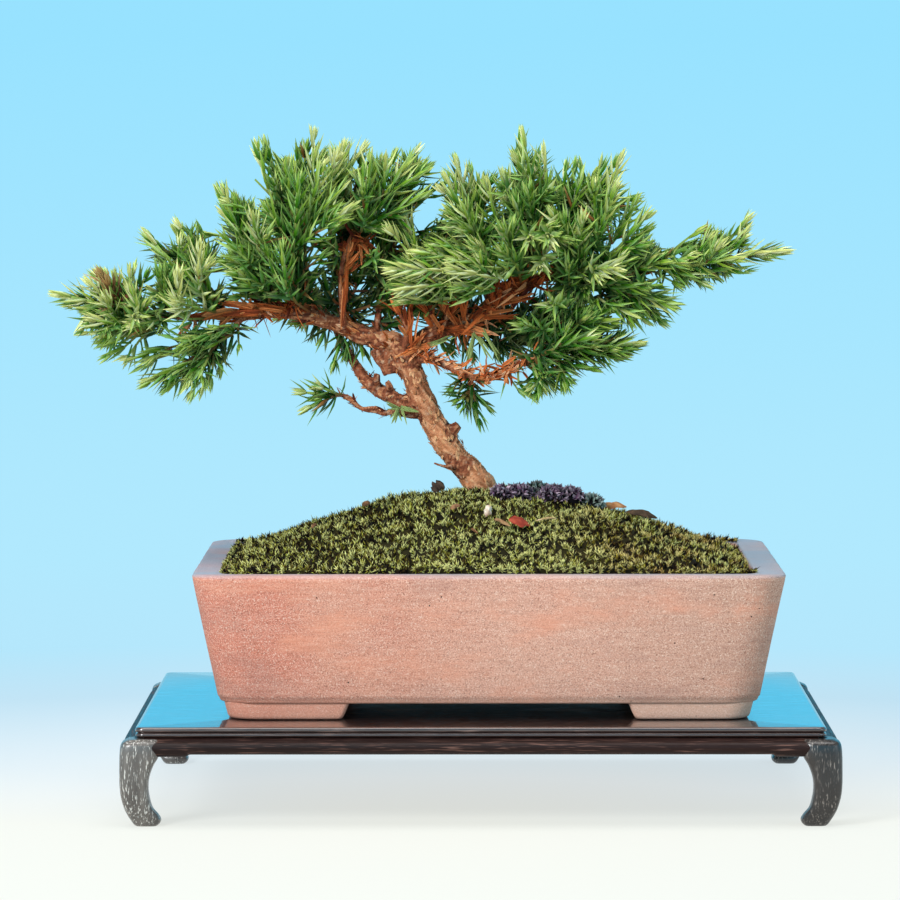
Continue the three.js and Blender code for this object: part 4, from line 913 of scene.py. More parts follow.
# %% [markdown]
# ## The boughs
# Each leafy bough is a short twig with shoots. A shoot says where along the twig it leaves, as a
# share from 0 to 1, and where its furthest needle ends.
# %% The boughs
BOUGHS = {
    "left_end": {
        "twig": [[-89, -5, 150.5, 1.1], [-97, -6, 151.5, 1.1], [-107, -7, 153, 1.0],
            [-117, -7, 155, 0.9]],
        "shoots": [[1, -135, -8, 159.5], [0.8, -126, -22, 146], [0.65, -120.5, -12, 139.5],
            [0.8, -119.5, 1, 166], [0.55, -110, 8, 167.5], [0.25, -98, -35, 165],
            [0.35, -113, 9, 135.5], [0.9, -131, 7, 150]],
    },
    "left_low": {
        "twig": [[-74, -4, 151.5, 1.1], [-79, -8, 146.5, 1.0], [-86, -9, 141, 0.9]],
        "shoots": [[1, -107.5, -8, 129], [0.5, -93, 11, 133], [0.7, -87, -29, 133.5],
            [0.3, -99, -30, 145], [0.2, -74, -26, 139]],
    },
    "left_up": {
        "twig": [[-80, -4, 152, 1.1], [-84, -1, 158, 1.0], [-89, 2, 164, 0.9]],
        "shoots": [[1, -109, -3, 179], [0.8, -96.5, 18, 182], [0.5, -91, -30, 171],
            [0.6, -106, 21, 165], [0.2, -85, 29, 155]],
    },
    "left_crown": {
        "twig": [[-66, -3, 152.5, 1.2], [-69, 0, 161, 1.0], [-73, 3, 169, 0.9]],
        "shoots": [[1, -83.5, 4, 193], [0.9, -72.5, -10, 188], [0.8, -80, 32, 183],
            [0.4, -72, -36, 173], [0.2, -69, 20, 157]],
    },
    "centre_left": {
        "twig": [[-53, -2, 151, 1.3], [-54, 1, 161, 1.1], [-56, 2, 171, 1.0], [-57, 2, 180, 0.9]],
        "shoots": [[1, -70.5, -6, 208], [0.95, -54, 2, 211.5], [0.75, -61, 23, 201],
            [0.6, -68.5, -20, 190], [0.55, -55, -32, 188], [0.3, -62, -30, 170],
            [0.5, -55, 42, 182]],
    },
    "centre": {
        "twig": [[-42, 0, 147.5, 1.3], [-44, 4, 158, 1.1], [-43, 6, 168, 1.0], [-42, 6, 178, 0.9]],
        "shoots": [[1, -44.5, 18, 205], [0.95, -36, -4, 207.5], [0.75, -33, -11, 190],
            [0.7, -38, 40, 193], [0.4, -49, -21, 179], [0.4, -44, 39, 168]],
    },
    "centre_right": {
        "twig": [[-33, 0, 144, 1.3], [-32, 4, 153, 1.1], [-31, 5, 164, 1.0], [-30, 5, 173, 0.9]],
        "shoots": [[0.95, -26, 11, 199], [1, -17.5, 2, 206], [0.8, -15.5, -7, 191.5],
            [0.5, -35, -25, 172], [0.5, -18, 35, 178], [0.3, -27, 39, 160]],
    },
    "mid_back": {
        "twig": [[-47, 13, 149, 1.0], [-50, 17, 153, 0.9], [-53, 20, 156, 0.8]],
        "shoots": [[1, -70, 38, 164], [0.6, -38, 42, 153], [0.3, -56, 31, 139.5],
            [0.5, -66, 44, 149]],
    },
    "right_inner": {
        "twig": [[-4, -2, 149.5, 1.2], [-6, -6, 156, 1.0], [-9, -7, 163, 0.9]],
        "shoots": [[1, -30, -8, 180.5], [0.8, -29.5, -26, 168], [0.5, -27, -31, 155],
            [0.6, -10, -36, 166], [0.95, -17, 8, 180]],
    },
    "right_left": {
        "twig": [[3, -3, 153, 1.2], [2, 0, 162, 1.1], [0, 2, 172, 1.0], [-1, 2, 180, 0.9]],
        "shoots": [[1, -9, -2, 202], [0.95, 2, 8, 199], [0.7, -8, -23, 184], [0.7, -2, 38, 187],
            [0.35, -12, 31, 168]],
    },
    "right_crown": {
        "twig": [[13, -2.5, 160.5, 1.3], [14, 0, 169, 1.1], [15, 2, 178, 1.0], [14, 2, 186, 0.9]],
        "shoots": [[1, 12, 0, 210.5], [0.9, 21, 6, 207], [0.3, 12.5, -43, 178], [0.75, 6, -25, 192],
            [0.7, 22, -22, 191], [0.6, 13, 40, 190], [0.3, 14, 39, 168]],
    },
    "right_shoulder": {
        "twig": [[24.5, -1, 165, 1.3], [27, 2, 173, 1.1], [31, 3, 180, 1.0], [34, 3, 186, 0.9]],
        "shoots": [[0.9, 30.5, 6, 204], [1, 46, -2, 204], [0.8, 54.5, 0, 189], [0.4, 35, -40, 178],
            [0.6, 36, -22, 191], [0.6, 38, 38, 188], [0.3, 32, 39, 168]],
    },
    "right_end": {
        "twig": [[36, 0, 168, 1.2], [46, 0, 168, 1.1], [58, -1, 168, 1.0], [70, -1, 168.5, 0.9],
            [80, -1, 169.5, 0.9]],
        "shoots": [[1, 96, -1, 171.5], [0.75, 84, -4, 182], [0.8, 86, -9, 163],
            [0.5, 73, -5, 159.5], [0.4, 71, 7, 180.5], [0.15, 56, 18, 178], [0.3, 62, -23, 171],
            [0.55, 79, 18, 166]],
    },
    "right_low": {
        "twig": [[26, -1, 165.5, 1.1], [32, -5, 162.5, 1.0], [39, -8, 160, 0.9],
            [45, -9, 158.5, 0.8]],
        "shoots": [[1, 63, -9, 154], [0.8, 58, -25, 162.5], [0.5, 42, -38, 153],
            [0.2, 33, -42, 160], [0.6, 52, 7, 152]],
    },
    "mid_right": {
        "twig": [[2, -3, 152, 1.2], [9, 2, 149.5, 1.0], [17, 5, 148.5, 0.9], [24, 6, 149, 0.8]],
        "shoots": [[1, 46, 10, 151], [0.7, 37, 27, 143], [0.5, 30, 35, 154], [0.6, 30, -12, 151],
            [0.3, 10, 35, 148]],
    },
    "low_right_end": {
        "twig": [[17, -11, 138, 0.9], [24, -10, 140, 0.9], [31, -9, 141, 0.8]],
        "shoots": [[1, 52.5, -8, 142.5], [0.8, 45, 6, 137], [0.4, 28, -21, 126.5],
            [0.1, 17, -22, 122.5], [0.5, 37, -32, 143]],
    },
    "hanging": {
        "twig": [[-3, -10, 132.5, 0.9], [-3, -9, 129.5, 0.8], [-3, -8, 127.5, 0.7]],
        "shoots": [[1, -0.5, -8, 114], [0.9, 7, -4, 120], [0.4, -12, -4, 128.5],
            [0.7, -9, -17, 121]],
    },
    "low_left_twig": {
        "twig": [[-43.5, -6, 126.5, 0.7], [-45.5, -6, 126.3, 0.7]],
        "shoots": [[1, -61, -6, 123.3]],
    },
}
# %% The shoots placed one by one
# Where the shoot starts, where it ends, and how fresh it is, from 0, old and dark, to 1, this
# spring's; 2 is a winter bronze. Most lie in front, and the old ones behind close the view, dark
# as old growth and as painted shade.
PLACED_SHOOTS = {
    "left_end": [[-113, -14, 157, -120, -18, 167, 2], [-114, -14, 156, -117, -20, 165, 2],
        [-109, -10, 151, -107, -30, 152, 0.5], [-110, -12, 153, -135, -12, 159, 0.75],
        [-115, -16, 155, -124, -18, 164, 0.7], [-110, -14, 157, -109, -14, 168, 0.5],
        [-106, -18, 151, -109, -24, 162, 0.6], [-104, -14, 148, -127, -14, 146, 0.45],
        [-112, -18, 149, -124, -20, 151, 0.6], [-104, -10, 147, -121, -10, 142, 0.4],
        [-107, -8, 144, -120, -6, 137, 0.35], [-98, -14, 157, -104, -18, 162, 0.6],
        [-113, -14, 151, -118, -24, 158, 0.7], [-100, -16, 150, -110, -24, 149, 0.5],
        [-99, -10, 148, -103, -12, 142, 0.35]],
    "left_up": [[-90, -10, 159, -106, -6, 179, 0.6], [-90, 2, 172, -97, 4, 182, 0.7],
        [-86, 8, 168, -93, 12, 180, 0.05], [-85, 10, 168, -90, 14, 181, 0.05],
        [-88, -20, 159, -87, -26, 176, 0.75], [-94, -22, 154, -94, -28, 167, 0.8],
        [-91, -16, 150, -100, -20, 159, 0.4], [-86, -14, 157, -93, -14, 167, 0.25],
        [-84, -12, 155, -86, -16, 169, 0.15], [-87, -18, 154, -96, -28, 157, 0.45]],
    "left_low": [[-91, -8, 143, -113, -8, 137, 0.55], [-98, -6, 140, -112, -4, 132, 0.4],
        [-82, -8, 140, -107, -8, 130, 0.55], [-84, -8, 137, -101, -4, 127, 0.35],
        [-86, -6, 137, -92, -6, 124, 0.3], [-84, -10, 138, -88, -10, 125, 0.3],
        [-83, -12, 140, -85, -12, 128, 0.25], [-80, -10, 142, -82, -8, 132, 0.2],
        [-78, -14, 147, -94, -20, 144, 0.3], [-77, -10, 146, -88, -14, 140, 0.25],
        [-75, -16, 149, -85, -24, 148, 0.25]],
    "left_crown": [[-74, -8, 174, -82, -6, 193, 0.6], [-74, -4, 177, -77, -2, 190, 0.35],
        [-70, -4, 172, -72, 4, 189, 0.2], [-68, -18, 169, -71, -30, 185, 0.6],
        [-72, -22, 169, -82, -28, 178, 0.5], [-73, -18, 168, -83, -22, 169, 0.4],
        [-68, -20, 162, -79, -26, 166, 0.3], [-66, -16, 159, -75, -24, 162, 0.3],
        [-64, -16, 161, -66, -22, 176, 0.25], [-75, -10, 160, -79, -14, 172, 0.15],
        [-72, -8, 158, -78, -14, 157, 0.15]],
    "centre_left": [[-59, -10, 166, -71, -8, 207, 0.4], [-59, -4, 175, -68, 0, 208, 0.4],
        [-58, -12, 175, -61, -16, 202, 0.4], [-59, -18, 162, -56, -26, 197, 0.3],
        [-57, -16, 169, -49, -22, 200, 0.35], [-53, -6, 188, -52, -4, 211, 0.65],
        [-56, 0, 183, -58, 4, 206, 0.1], [-49, -12, 186, -44, -18, 204, 0.7],
        [-49, -8, 186, -42, -8, 207, 0.6], [-48, -6, 188, -35, -6, 206, 0.65],
        [-56, -16, 177, -40, -22, 194, 0.35], [-56, -20, 174, -38, -26, 187, 0.4],
        [-56, -14, 170, -40, -16, 184, 0.2], [-59, -16, 160, -44, -14, 181, 0.1],
        [-62, -20, 159, -68, -22, 176, 0.2], [-56, -10, 156, -51, -12, 168, 0.05],
        [-60, -22, 158, -62, -30, 176, 0.3]],
    "centre": [[-36, -14, 178, -34, -12, 204, 0.4], [-36, -8, 179, -30, -6, 202, 0.25],
        [-36, -6, 181, -26, -4, 204, 0.25], [-35, -12, 181, -18, -10, 206, 0.55],
        [-27, -12, 191, -15, -12, 198, 0.4], [-35, -14, 180, -15, -12, 190, 0.4],
        [-36, -18, 180, -37, -22, 200, 0.3], [-41, 0, 159, -47, 0, 172, 0.05],
        [-32, 4, 159, -30, 8, 175, 0], [-41, 0, 156, -34, 4, 170, 0],
        [-47, -2, 156, -50, -2, 166, 0], [-30, -2, 156, -26, 0, 168, 0],
        [-43, 4, 147, -47, 3, 133, 0.1], [-40, 5, 147, -43, 5, 136, 0],
        [-38, 5, 146, -36, 5, 134, 0.1], [-48, 4, 148, -54, 3, 138, 0.1],
        [-34, 5, 146, -32, 5, 137, 0], [-42, 4, 152, -33, 8, 164, 0],
        [-38, 6, 150, -32, 10, 160, 0.05], [-44, 6, 158, -35, 10, 168, 0]],
    "centre_right": [[-19, -10, 168, -24, -10, 186, 0.6], [-19, -14, 168, -30, -18, 180, 0.75],
        [-16, 6, 168, -18, 8, 181, 0], [-13, 8, 170, -14, 10, 186, 0.05],
        [-9, -26, 166, -30, -30, 166, 0.75], [-8, -24, 162, -27, -28, 160, 0.6],
        [-3, -22, 169, -22, -28, 172, 0.45], [0, -18, 172, -17, -24, 174, 0.4],
        [-12, -18, 157, -26, -22, 156, 0.7], [-17, -16, 164, -24, -20, 172, 0.5],
        [-30, 4, 147, -24, 8, 157, 0], [-26, 5, 147, -19, 9, 156, 0.05],
        [-28, 5, 148, -30, 9, 160, 0]],
    "right_left": [[-1, -10, 176, -8, -8, 202, 0.65], [-1, -6, 176, -3, -2, 200, 0.3],
        [-1, -14, 175, -12, -14, 197, 0.5], [1, -16, 176, -12, -22, 186, 0.4],
        [1, -4, 180, 0, -2, 196, 0.55], [4, -12, 175, -7, -26, 179, 0.45],
        [1, -16, 169, -6, -26, 188, 0.45]],
    "right_inner": [[10, -24, 166, -11, -32, 170, 0.55], [8, -26, 163, -11, -36, 167, 0.6],
        [6, -22, 160, -9, -32, 161, 0.5], [0, -20, 159, -6, -28, 156, 0.3],
        [6, -22, 167, -4, -32, 176, 0.4], [-3, -14, 157, -12, -24, 163, 0.3],
        [-6, 6, 150, -18, 9, 158, 0], [-2, 6, 152, -10, 12, 161, 0], [0, 6, 153, 6, 12, 160, 0],
        [-7, 6, 150, -20, 9, 152, 0], [-4, 6, 152, -3, 12, 162, 0], [-8, 6, 152, -24, 8, 160, 0],
        [-12, 6, 147, -22, 9, 154, 0], [-9, 6, 148, -16, 10, 159, 0]],
    "right_crown": [[18, -10, 183, 13, -8, 211, 0.6], [19, -4, 183, 10, -2, 203, 0.3],
        [21, -8, 184, 20, -6, 206, 0.75], [12, -10, 175, 7, -8, 198, 0.55],
        [14, -16, 174, 10, -24, 191, 0.3], [8, -12, 172, 1, -10, 195, 0.5],
        [15, -14, 177, 15, -40, 176, 0.5], [21, -14, 177, 21, -42, 177, 0.5],
        [20, -20, 171, 18, -36, 166, 0.5], [25, -10, 178, 27, -8, 201, 0.2],
        [27, -6, 180, 30, -4, 202, 0.3], [27, -12, 180, 33, -14, 198, 0.3],
        [11, -20, 169, 6, -34, 181, 0.35], [17, -16, 179, 14, -26, 193, 0.35],
        [12, -24, 167, 5, -36, 174, 0.4]],
    "right_shoulder": [[34, -10, 172, 38, -8, 202, 0.4], [36, -10, 178, 45, -10, 204, 0.7],
        [37, -14, 175, 35, -16, 195, 0.4], [36, -18, 174, 42, -26, 192, 0.5],
        [38, -14, 168, 50, -14, 190, 0.35], [38, -16, 167, 54, -18, 185, 0.4],
        [38, -12, 167, 55, -12, 180, 0.3], [38, -14, 165, 54, -14, 175, 0.3],
        [30, -20, 166, 44, -36, 167, 0.6], [31, -18, 163, 25, -28, 184, 0.35],
        [30, -18, 169, 21, -30, 186, 0.5], [30, -20, 169, 32, -34, 184, 0.5],
        [34, -14, 161, 29, -28, 176, 0.1], [38, -14, 161, 45, -26, 172, 0.4],
        [28, -16, 160, 27, -30, 169, 0.2]],
    "right_end": [[50, -8, 165, 54, -8, 176, 0.4], [48, -8, 164, 56, -16, 172, 0.45],
        [56, -6, 168, 71, -6, 180, 0.5], [66, -8, 168, 74, -6, 178, 0.45],
        [69, -8, 168, 78, -8, 176, 0.45], [73, -4, 168, 86, -4, 184, 0.65],
        [69, -8, 168, 98, -8, 172, 0.7], [66, -8, 166, 87, -6, 164, 0.4],
        [58, -10, 167, 73, -10, 160, 0.45], [56, -12, 167, 68, -22, 171, 0.45],
        [53, -8, 166, 64, -8, 160, 0.25], [45, -10, 165, 60, -18, 169, 0.3],
        [66, -10, 167, 83, -16, 170, 0.5], [50, -10, 167, 66, -12, 167, 0.4],
        [48, -8, 168, 60, -10, 171, 0.35]],
    "right_low": [[39, -16, 161, 62, -16, 154, 0.45], [38, -14, 160, 61, -10, 156, 0.3],
        [41, -14, 157, 54, -10, 148, 0.25], [45, -12, 157, 59, -8, 148, 0.25],
        [36, -18, 157, 50, -20, 151, 0.35], [34, -16, 162, 53, -22, 160, 0.25]],
    "mid_right": [[20, -14, 143, 45, -16, 156, 0.3], [19, -10, 146, 38, -14, 157, 0.2],
        [8, -4, 145, 25, -8, 155, 0.05], [6, 0, 142, 20, -2, 151, 0],
        [20, -16, 147, 11, -30, 150, 0.35], [25, -14, 155, 21, -32, 156, 0.35],
        [25, -14, 147, 44, -18, 151, 0.3], [16, -6, 150, 30, -10, 160, 0.1],
        [0, 0, 145, 13, 0, 150, 0], [2, 4, 143, 14, 6, 140, 0.05], [8, 6, 143, 21, 8, 142, 0.05],
        [-4, 4, 146, 6, 8, 139, 0], [-8, 6, 146, -1, 12, 136, 0], [0, 6, 146, 7, 12, 136, 0],
        [-14, 6, 145, -8, 12, 138, 0], [4, 4, 145, 13, 10, 134, 0], [-2, 8, 148, 12, 14, 145, 0],
        [13, 4, 151, 25, 8, 160, 0.1], [9, 4, 151, 19, 8, 157, 0], [16, 4, 150, 31, 8, 157, 0.1]],
    "low_right_end": [[16, -12, 139, 52, -14, 143, 0.5], [18, -12, 140, 44, -12, 149, 0.3],
        [22, -10, 138, 48, -10, 139, 0.3], [16, -12, 138, 38, -12, 134, 0.3],
        [14, -12, 137, 30, -12, 130, 0.3], [13, -12, 137, 25, -8, 128, 0.25],
        [9, -14, 134, 18, -12, 124, 0.35], [8, -10, 134, 14, -8, 125, 0.15],
        [16, -16, 136, 21, -16, 127, 0.3], [19, -18, 140, 37, -24, 146, 0.35]],
    "hanging": [[-3, -10, 133, 0, -8, 115, 0.05], [-4, -8, 133, -11, -8, 126, 0.05]],
    "low_left_twig": [[-45, -6, 126.4, -59, -8, 127.5, 0.45], [-45, -6, 126.4, -57, -4, 121, 0.35],
        [-44, -7, 126.6, -53, -12, 130, 0.45]],
}
# %% Outline and gaps
# Where the gardener clips the crown, as places (x, z), and gaps as (x, z, half width, half height).
CROWN_OUTLINE = [
    (-136, 159), (-132, 162), (-125, 165), (-122, 168), (-116, 166), (-114, 167), (-110, 169),
    (-107, 167), (-107, 162), (-104, 161), (-102, 158), (-103, 164), (-104, 166), (-110, 170),
    (-111, 175), (-106, 180), (-102, 178), (-99, 173), (-97, 176), (-98, 181), (-96, 183),
    (-94, 181), (-92, 179), (-89, 182), (-86, 176), (-84, 173), (-83, 183), (-85, 192), (-82, 194),
    (-79, 194), (-76, 190), (-74, 188), (-69, 189), (-66, 189), (-70, 198), (-73, 206), (-68, 209),
    (-65, 207), (-64, 201), (-60, 202), (-58, 206), (-57, 204), (-56, 210), (-52, 212), (-48, 208),
    (-47, 205), (-41, 208), (-35, 207), (-32, 202), (-26, 205), (-24, 203), (-21, 206), (-18, 206),
    (-14, 200), (-16, 194), (-14, 190), (-18, 186), (-21, 184), (-20, 177), (-17, 176), (-12, 186),
    (-14, 191), (-14, 195), (-11, 200), (-8, 203), (-5, 200), (-2, 200), (-2, 197), (3, 197),
    (6, 198), (9, 198), (8, 204), (9, 208), (12, 211), (15, 211), (17, 204), (20, 207), (24, 200),
    (31, 202), (33, 200), (33, 196), (36, 196), (38, 202), (45, 204), (48, 202), (47, 195),
    (47, 190), (51, 190), (56, 185), (56, 180), (54, 176), (57, 173), (62, 173), (69, 176),
    (71, 181), (77, 178), (80, 181), (81, 178), (84, 185), (88, 183), (85, 175), (96, 176),
    (99, 172), (98, 168), (90, 168), (87, 164), (82, 164), (74, 161), (73, 159), (64, 159),
    (64, 154), (62, 149), (59, 147), (50, 148), (48, 150), (54, 143), (49, 137), (39, 132),
    (32, 132), (28, 126), (19, 125), (18, 123), (7, 129), (6, 123), (7, 114), (3, 112), (-3, 117),
    (-13, 125), (-13, 132), (-19, 140), (-47, 132), (-51, 140), (-60, 147), (-69, 146), (-81, 131),
    (-85, 126), (-89, 124), (-93, 123), (-108, 128), (-114, 137), (-120, 136), (-122, 142),
    (-129, 145), (-125, 150), (-132, 152), (-136, 154),
]
CROWN_GAPS = [
    (-49, 178, 2.2, 2.2), (-53, 172, 2.5, 2.2), (-53, 167, 1.9, 1.9), (-39, 199, 2.2, 0.9),
    (-40, 192, 0.9, 2.5), (2, 186, 1.3, 1.3), (2, 181, 0.9, 1.6), (38, 158, 2.8, 1.6),
    (42, 151, 1.9, 0.9), (43, 174, 2.2, 1.6), (2, 139, 1.9, 2.5), (-93, 154, 1.6, 0.6),
    (-88, 155, 1.3, 0.6), (-84, 162, 1.6, 2.5), (-98, 137, 1.6, 1.9), (-104, 144, 4.4, 0.9),
    (-111, 141, 1.6, 1.3), (-86, 134, 2.2, 0.9), (-26, 173, 1.6, 2.5), (-37, 160, 1.3, 1.9),
    (-40, 161, 0.9, 1.9), (-55, 161, 0.9, 1.3), (54, 164, 2.5, 0.9), (59, 162, 1.6, 1.3),
    (62, 170, 2.2, 0.9), (72, 167, 2.5, 0.9), (80, 171, 1.6, 0.9), (-106, 143.5, 5, 1.3),
    (-98, 142.5, 2.5, 1.3), (-100, 136.5, 3, 1.4), (-92, 137.5, 1.2, 1.6), (-78, 144, 3, 1.6),
]
# Windows that show the wood: as the gaps, but behind them the crown goes on.
CROWN_WINDOWS = [
    (-40, 147.5, 6, 3.5), (-49, 150, 6, 3.5), (-58, 152.5, 6, 4.5), (-67, 152.5, 6, 3),
    (-76, 152.5, 6, 3), (-86, 151, 6, 2.4), (-42.3, 157, 2.5, 8), (-42, 168, 2.8, 8),
    (-39.5, 175.5, 6, 4), (-22, 150, 8, 4.5), (-8, 150, 9, 4), (3, 154, 9, 4), (11, 159.5, 8, 4.5),
    (-5, 141, 14, 6), (8, 134, 9, 4),
]

# %% [markdown]
# ## Wood
# A sleeve is a ring of points carried along a smooth line, square to it. Sleeves of all limbs,
# roots and twigs are joined and remeshed in cells of 0.45 mm, smoothed a little, and then given
# their bark. Bark on an old trunk comes off in flat scales, so its height is a noise field that
# is drawn out along the limb and cut into steps.
# %% Sleeves and the remesh
def line_frame(centre):
    """Tangents of a row of points, and two directions square to each, from one reference that
    holds for the whole line."""
    tangent = unit(np.gradient(centre, axis=0))
    chord = centre[-1] - centre[0]
    reference = [1.0, 0, 0] if abs(chord[1]) > 0.8 * np.linalg.norm(chord) else [0, 1.0, 0]
    sideways = unit(np.cross(reference, chord))
    across = unit(np.cross(tangent, sideways))
    return tangent, across, np.cross(across, tangent)


def sleeve(centre, radius, sides):
    """Rings centre + radius * (across * cos a + up * sin a)."""
    _, across, up = line_frame(centre)
    a = np.linspace(0, 2 * math.pi, sides, endpoint=False)[None, :, None]
    out = across[:, None] * np.cos(a) + up[:, None] * np.sin(a)
    return skin(centre[:, None] + radius[:, None, None] * out)


def limb(points, pitch=0.7):
    """Centre and radius at steps of `pitch` mm. Bark swells by 7 percent in slow knobs."""
    length = np.linalg.norm(np.diff(np.array(points)[:, :3], axis=0), axis=1).sum()
    t = np.linspace(0, 1, max(8, int(length / pitch)))
    line = smooth_line(points, t)
    return line[:, :3], line[:, 3] * (1 + 0.07 * np.sin(23 * t + 1) * np.sin(11 * t))


VOXEL = 0.45
wood_lines = [limb(points) for points in LIMBS.values()]
wood_lines += [limb(bough["twig"]) for bough in BOUGHS.values()]
rough_wood = put("rough_wood", joined([sleeve(c, r, 16) for c, r in wood_lines]), SOIL)
remesh = rough_wood.modifiers.new("melt", "REMESH")
remesh.mode, remesh.voxel_size = "VOXEL", VOXEL * MM
smooth = rough_wood.modifiers.new("ease", "SMOOTH")
smooth.factor, smooth.iterations = 0.5, 4
melted = rough_wood.evaluated_get(bpy.context.evaluated_depsgraph_get()).to_mesh()
wood_points = np.empty(len(melted.vertices) * 3)
wood_normals = np.empty_like(wood_points)
wood_corners = np.empty(len(melted.loops), int)
melted.vertices.foreach_get("co", wood_points)
melted.vertices.foreach_get("normal", wood_normals)
melted.loops.foreach_get("vertex_index", wood_corners)
wood_points = wood_points.reshape(-1, 3) / MM - STAND_MIDDLE
wood_normals = wood_normals.reshape(-1, 3)
wood_faces = wood_corners.reshape(-1, 4)
bpy.data.objects.remove(rough_wood)
print("melted wood:", len(wood_points), "points")

# %% [markdown]
# ## Bark
# Every point of the wood finds the nearest middle line, which tells it how thick the wood is
# there and which way it runs. The trunk's old bark is a light warm brown with deep scales, and
# that of the limbs is darker, redder and smoother. Scales are pale, the cracks between them dark.
# %% The bark's relief and tint
LINE_APART = 500
BARK_DRAWN_OUT = 3.4


def nearest_line(points, lines):
    """For each point the closest sample of all lines: its place, radius and distance along. Each
    line's distances start LINE_APART mm after the last line's, so that its bark is its own."""
    centre = np.vstack([c for c, _ in lines])
    radius = np.concatenate([r for _, r in lines])
    along = np.concatenate([
        np.append(0, np.cumsum(np.linalg.norm(np.diff(c, axis=0), axis=1))) + LINE_APART * i
        for i, (c, _) in enumerate(lines)
    ])
    found = np.concatenate([
        ((chunk[:, None] - centre[None]) ** 2).sum(2).argmin(1)
        for chunk in np.array_split(points, 40)
    ])
    return centre[found], radius[found], along[found]


def steps(value, edge, soft=0.05):
    """A smooth step at `edge`."""
    share = np.clip((value - edge) / soft + 0.5, 0, 1)
    return share * share * (3 - 2 * share)


axis, thick, along = nearest_line(wood_points, wood_lines)
drawn_out = (wood_points - axis) + (along / BARK_DRAWN_OUT)[:, None] * [0.58, 0.57, 0.58]
knobs = lumps(wood_points, 4.2, 12) - 0.5
scales = lumps(drawn_out, 1.0, 4)
chips = lumps(drawn_out, 0.6, 8)
relief = 0.4 * steps(scales, 0.5, 0.16) + 0.32 * steps(chips, 0.52, 0.22)
relief += 0.28 * lumps(wood_points, 0.7, 6)
depth = 0.08 + 0.14 * np.minimum(thick, 5)
swell = np.clip(thick - 1, 0, 2.5) * 0.55 * knobs
wood_points = wood_points + wood_normals * (depth * (relief - 0.45) + swell)[:, None]

pale = steps(lumps(wood_points, 0.9, 41), 0.78, 0.1)[:, None]
old = blend(relief, "#945a38", "#bd7850", "#d08f66", "#e0aa80")
young = blend(relief, "#3a1b10", "#743c26", "#985638", "#c18862")
age = np.clip((thick - 3.4) / 0.7, 0, 1) * (0.6 + 0.6 * lumps(wood_points, 8, 14))
age = np.clip(age, 0, 1)[:, None]
wood_tint = young * (1 - age) + old * age
wood_tint = wood_tint * (1 - 0.2 * pale) + linear("#ecd6b6") * 0.2 * pale


def bark_material():
    material, shader, add, place, tint = matt("flaking_juniper_bark", 0.88)
    fine = add("TexNoise", place, per(0.5), 3, 0.65)
    shade = add("MapRange", fine, 0.25, 0.75, 0.74, 1.22)
    finish(shader, Base_Color=shaded(add, tint, shade),
           Normal=add("Bump", Height=fine, Distance=0.15 * MM))
    return material


BARK = bark_material()
roots = joined([sleeve(c, r, 10) for c, r in (limb(points, 2) for points in ROOTS)])
root_tint = np.broadcast_to(linear("#6b4630"), roots[0].shape)
put("trunk_and_limbs_bark", joined([(wood_points, [wood_faces]), roots]), BARK,
    ["trunk_and_limbs"], tint=np.vstack([wood_tint, root_tint]), sharp=180)

# %% [markdown]
# ## Flakes, dry scales and dead needles
# Loose flakes of bark stand off the trunk and the limbs. Inside the crown, where no light comes,
# needles die and cling to the wood for years. They shrink to flat curled straps, bright orange
# where they are new and dark red where they are old, and they hold on in clumps.
# %% Flakes and dead needles
def on_limb(name, t, around):
    """Places on a limb's middle line, with the tangent and the direction outwards at an angle."""
    centre, radius = limb(LIMBS[name], 0.25)
    tangent, across, up = line_frame(centre)
    at = np.round(t * (len(centre) - 1)).astype(int)
    out = across[at] * np.cos(around)[:, None] + up[at] * np.sin(around)[:, None]
    return centre[at], radius[at], tangent[at], out


FLAKES = {"trunk": 330, "left": 200, "right": 160, "low_left": 150, "low_twig": 50}
FLAKE_TONES = ("#7a3c24", "#a05f3c", "#c4865a", "#d39c70")


def square_to(way, out):
    """The part of `out` that is square to `way`, as a direction."""
    return unit(out - way * (out * way).sum(1, keepdims=True))


def flakes(random):
    """They run along the limb, up or down it, and stand off by up to 35 degrees."""
    shapes, tints = [], []
    for name, count in FLAKES.items():
        t, around = random.uniform(0.08, 0.97, count), random.uniform(0, 2 * math.pi, count)
        centre, radius, tangent, out = on_limb(name, t, around)
        lean = random.uniform(0.1, 0.7, count)[:, None]
        up_or_down = np.where(random.random(count) < 0.5, -1, 1)[:, None]
        side = np.cross(tangent, out) * random.normal(0, 0.6, (count, 1))
        way = unit(unit(tangent * up_or_down + side) + out * lean)
        long = random.uniform(0.9, 2.4, count) * np.clip(radius / 3, 0.5, 1)
        shapes.append(blades(centre + out * (radius * 0.98)[:, None], way, square_to(way, out),
                             long, long * 0.55, 0.15, keel=0.2))
        tone = blend(random.uniform(0, 1, count) + (name == "trunk") * 0.25, *FLAKE_TONES)
        tints.append(blade_tints(tone, 7).reshape(-1, 3))
    return joined(shapes), np.vstack(tints)


STRAP_ROWS = ((0, 0.7), (0.25, 1), (0.6, 0.9), (0.85, 0.6))
DRY_TONES = ("#5e2416", "#96421f", "#c4622c", "#dc8850", "#eeb48a")
FRESH_STRAP, GREEN_STRAP = 1.6, "#8c9b5a"


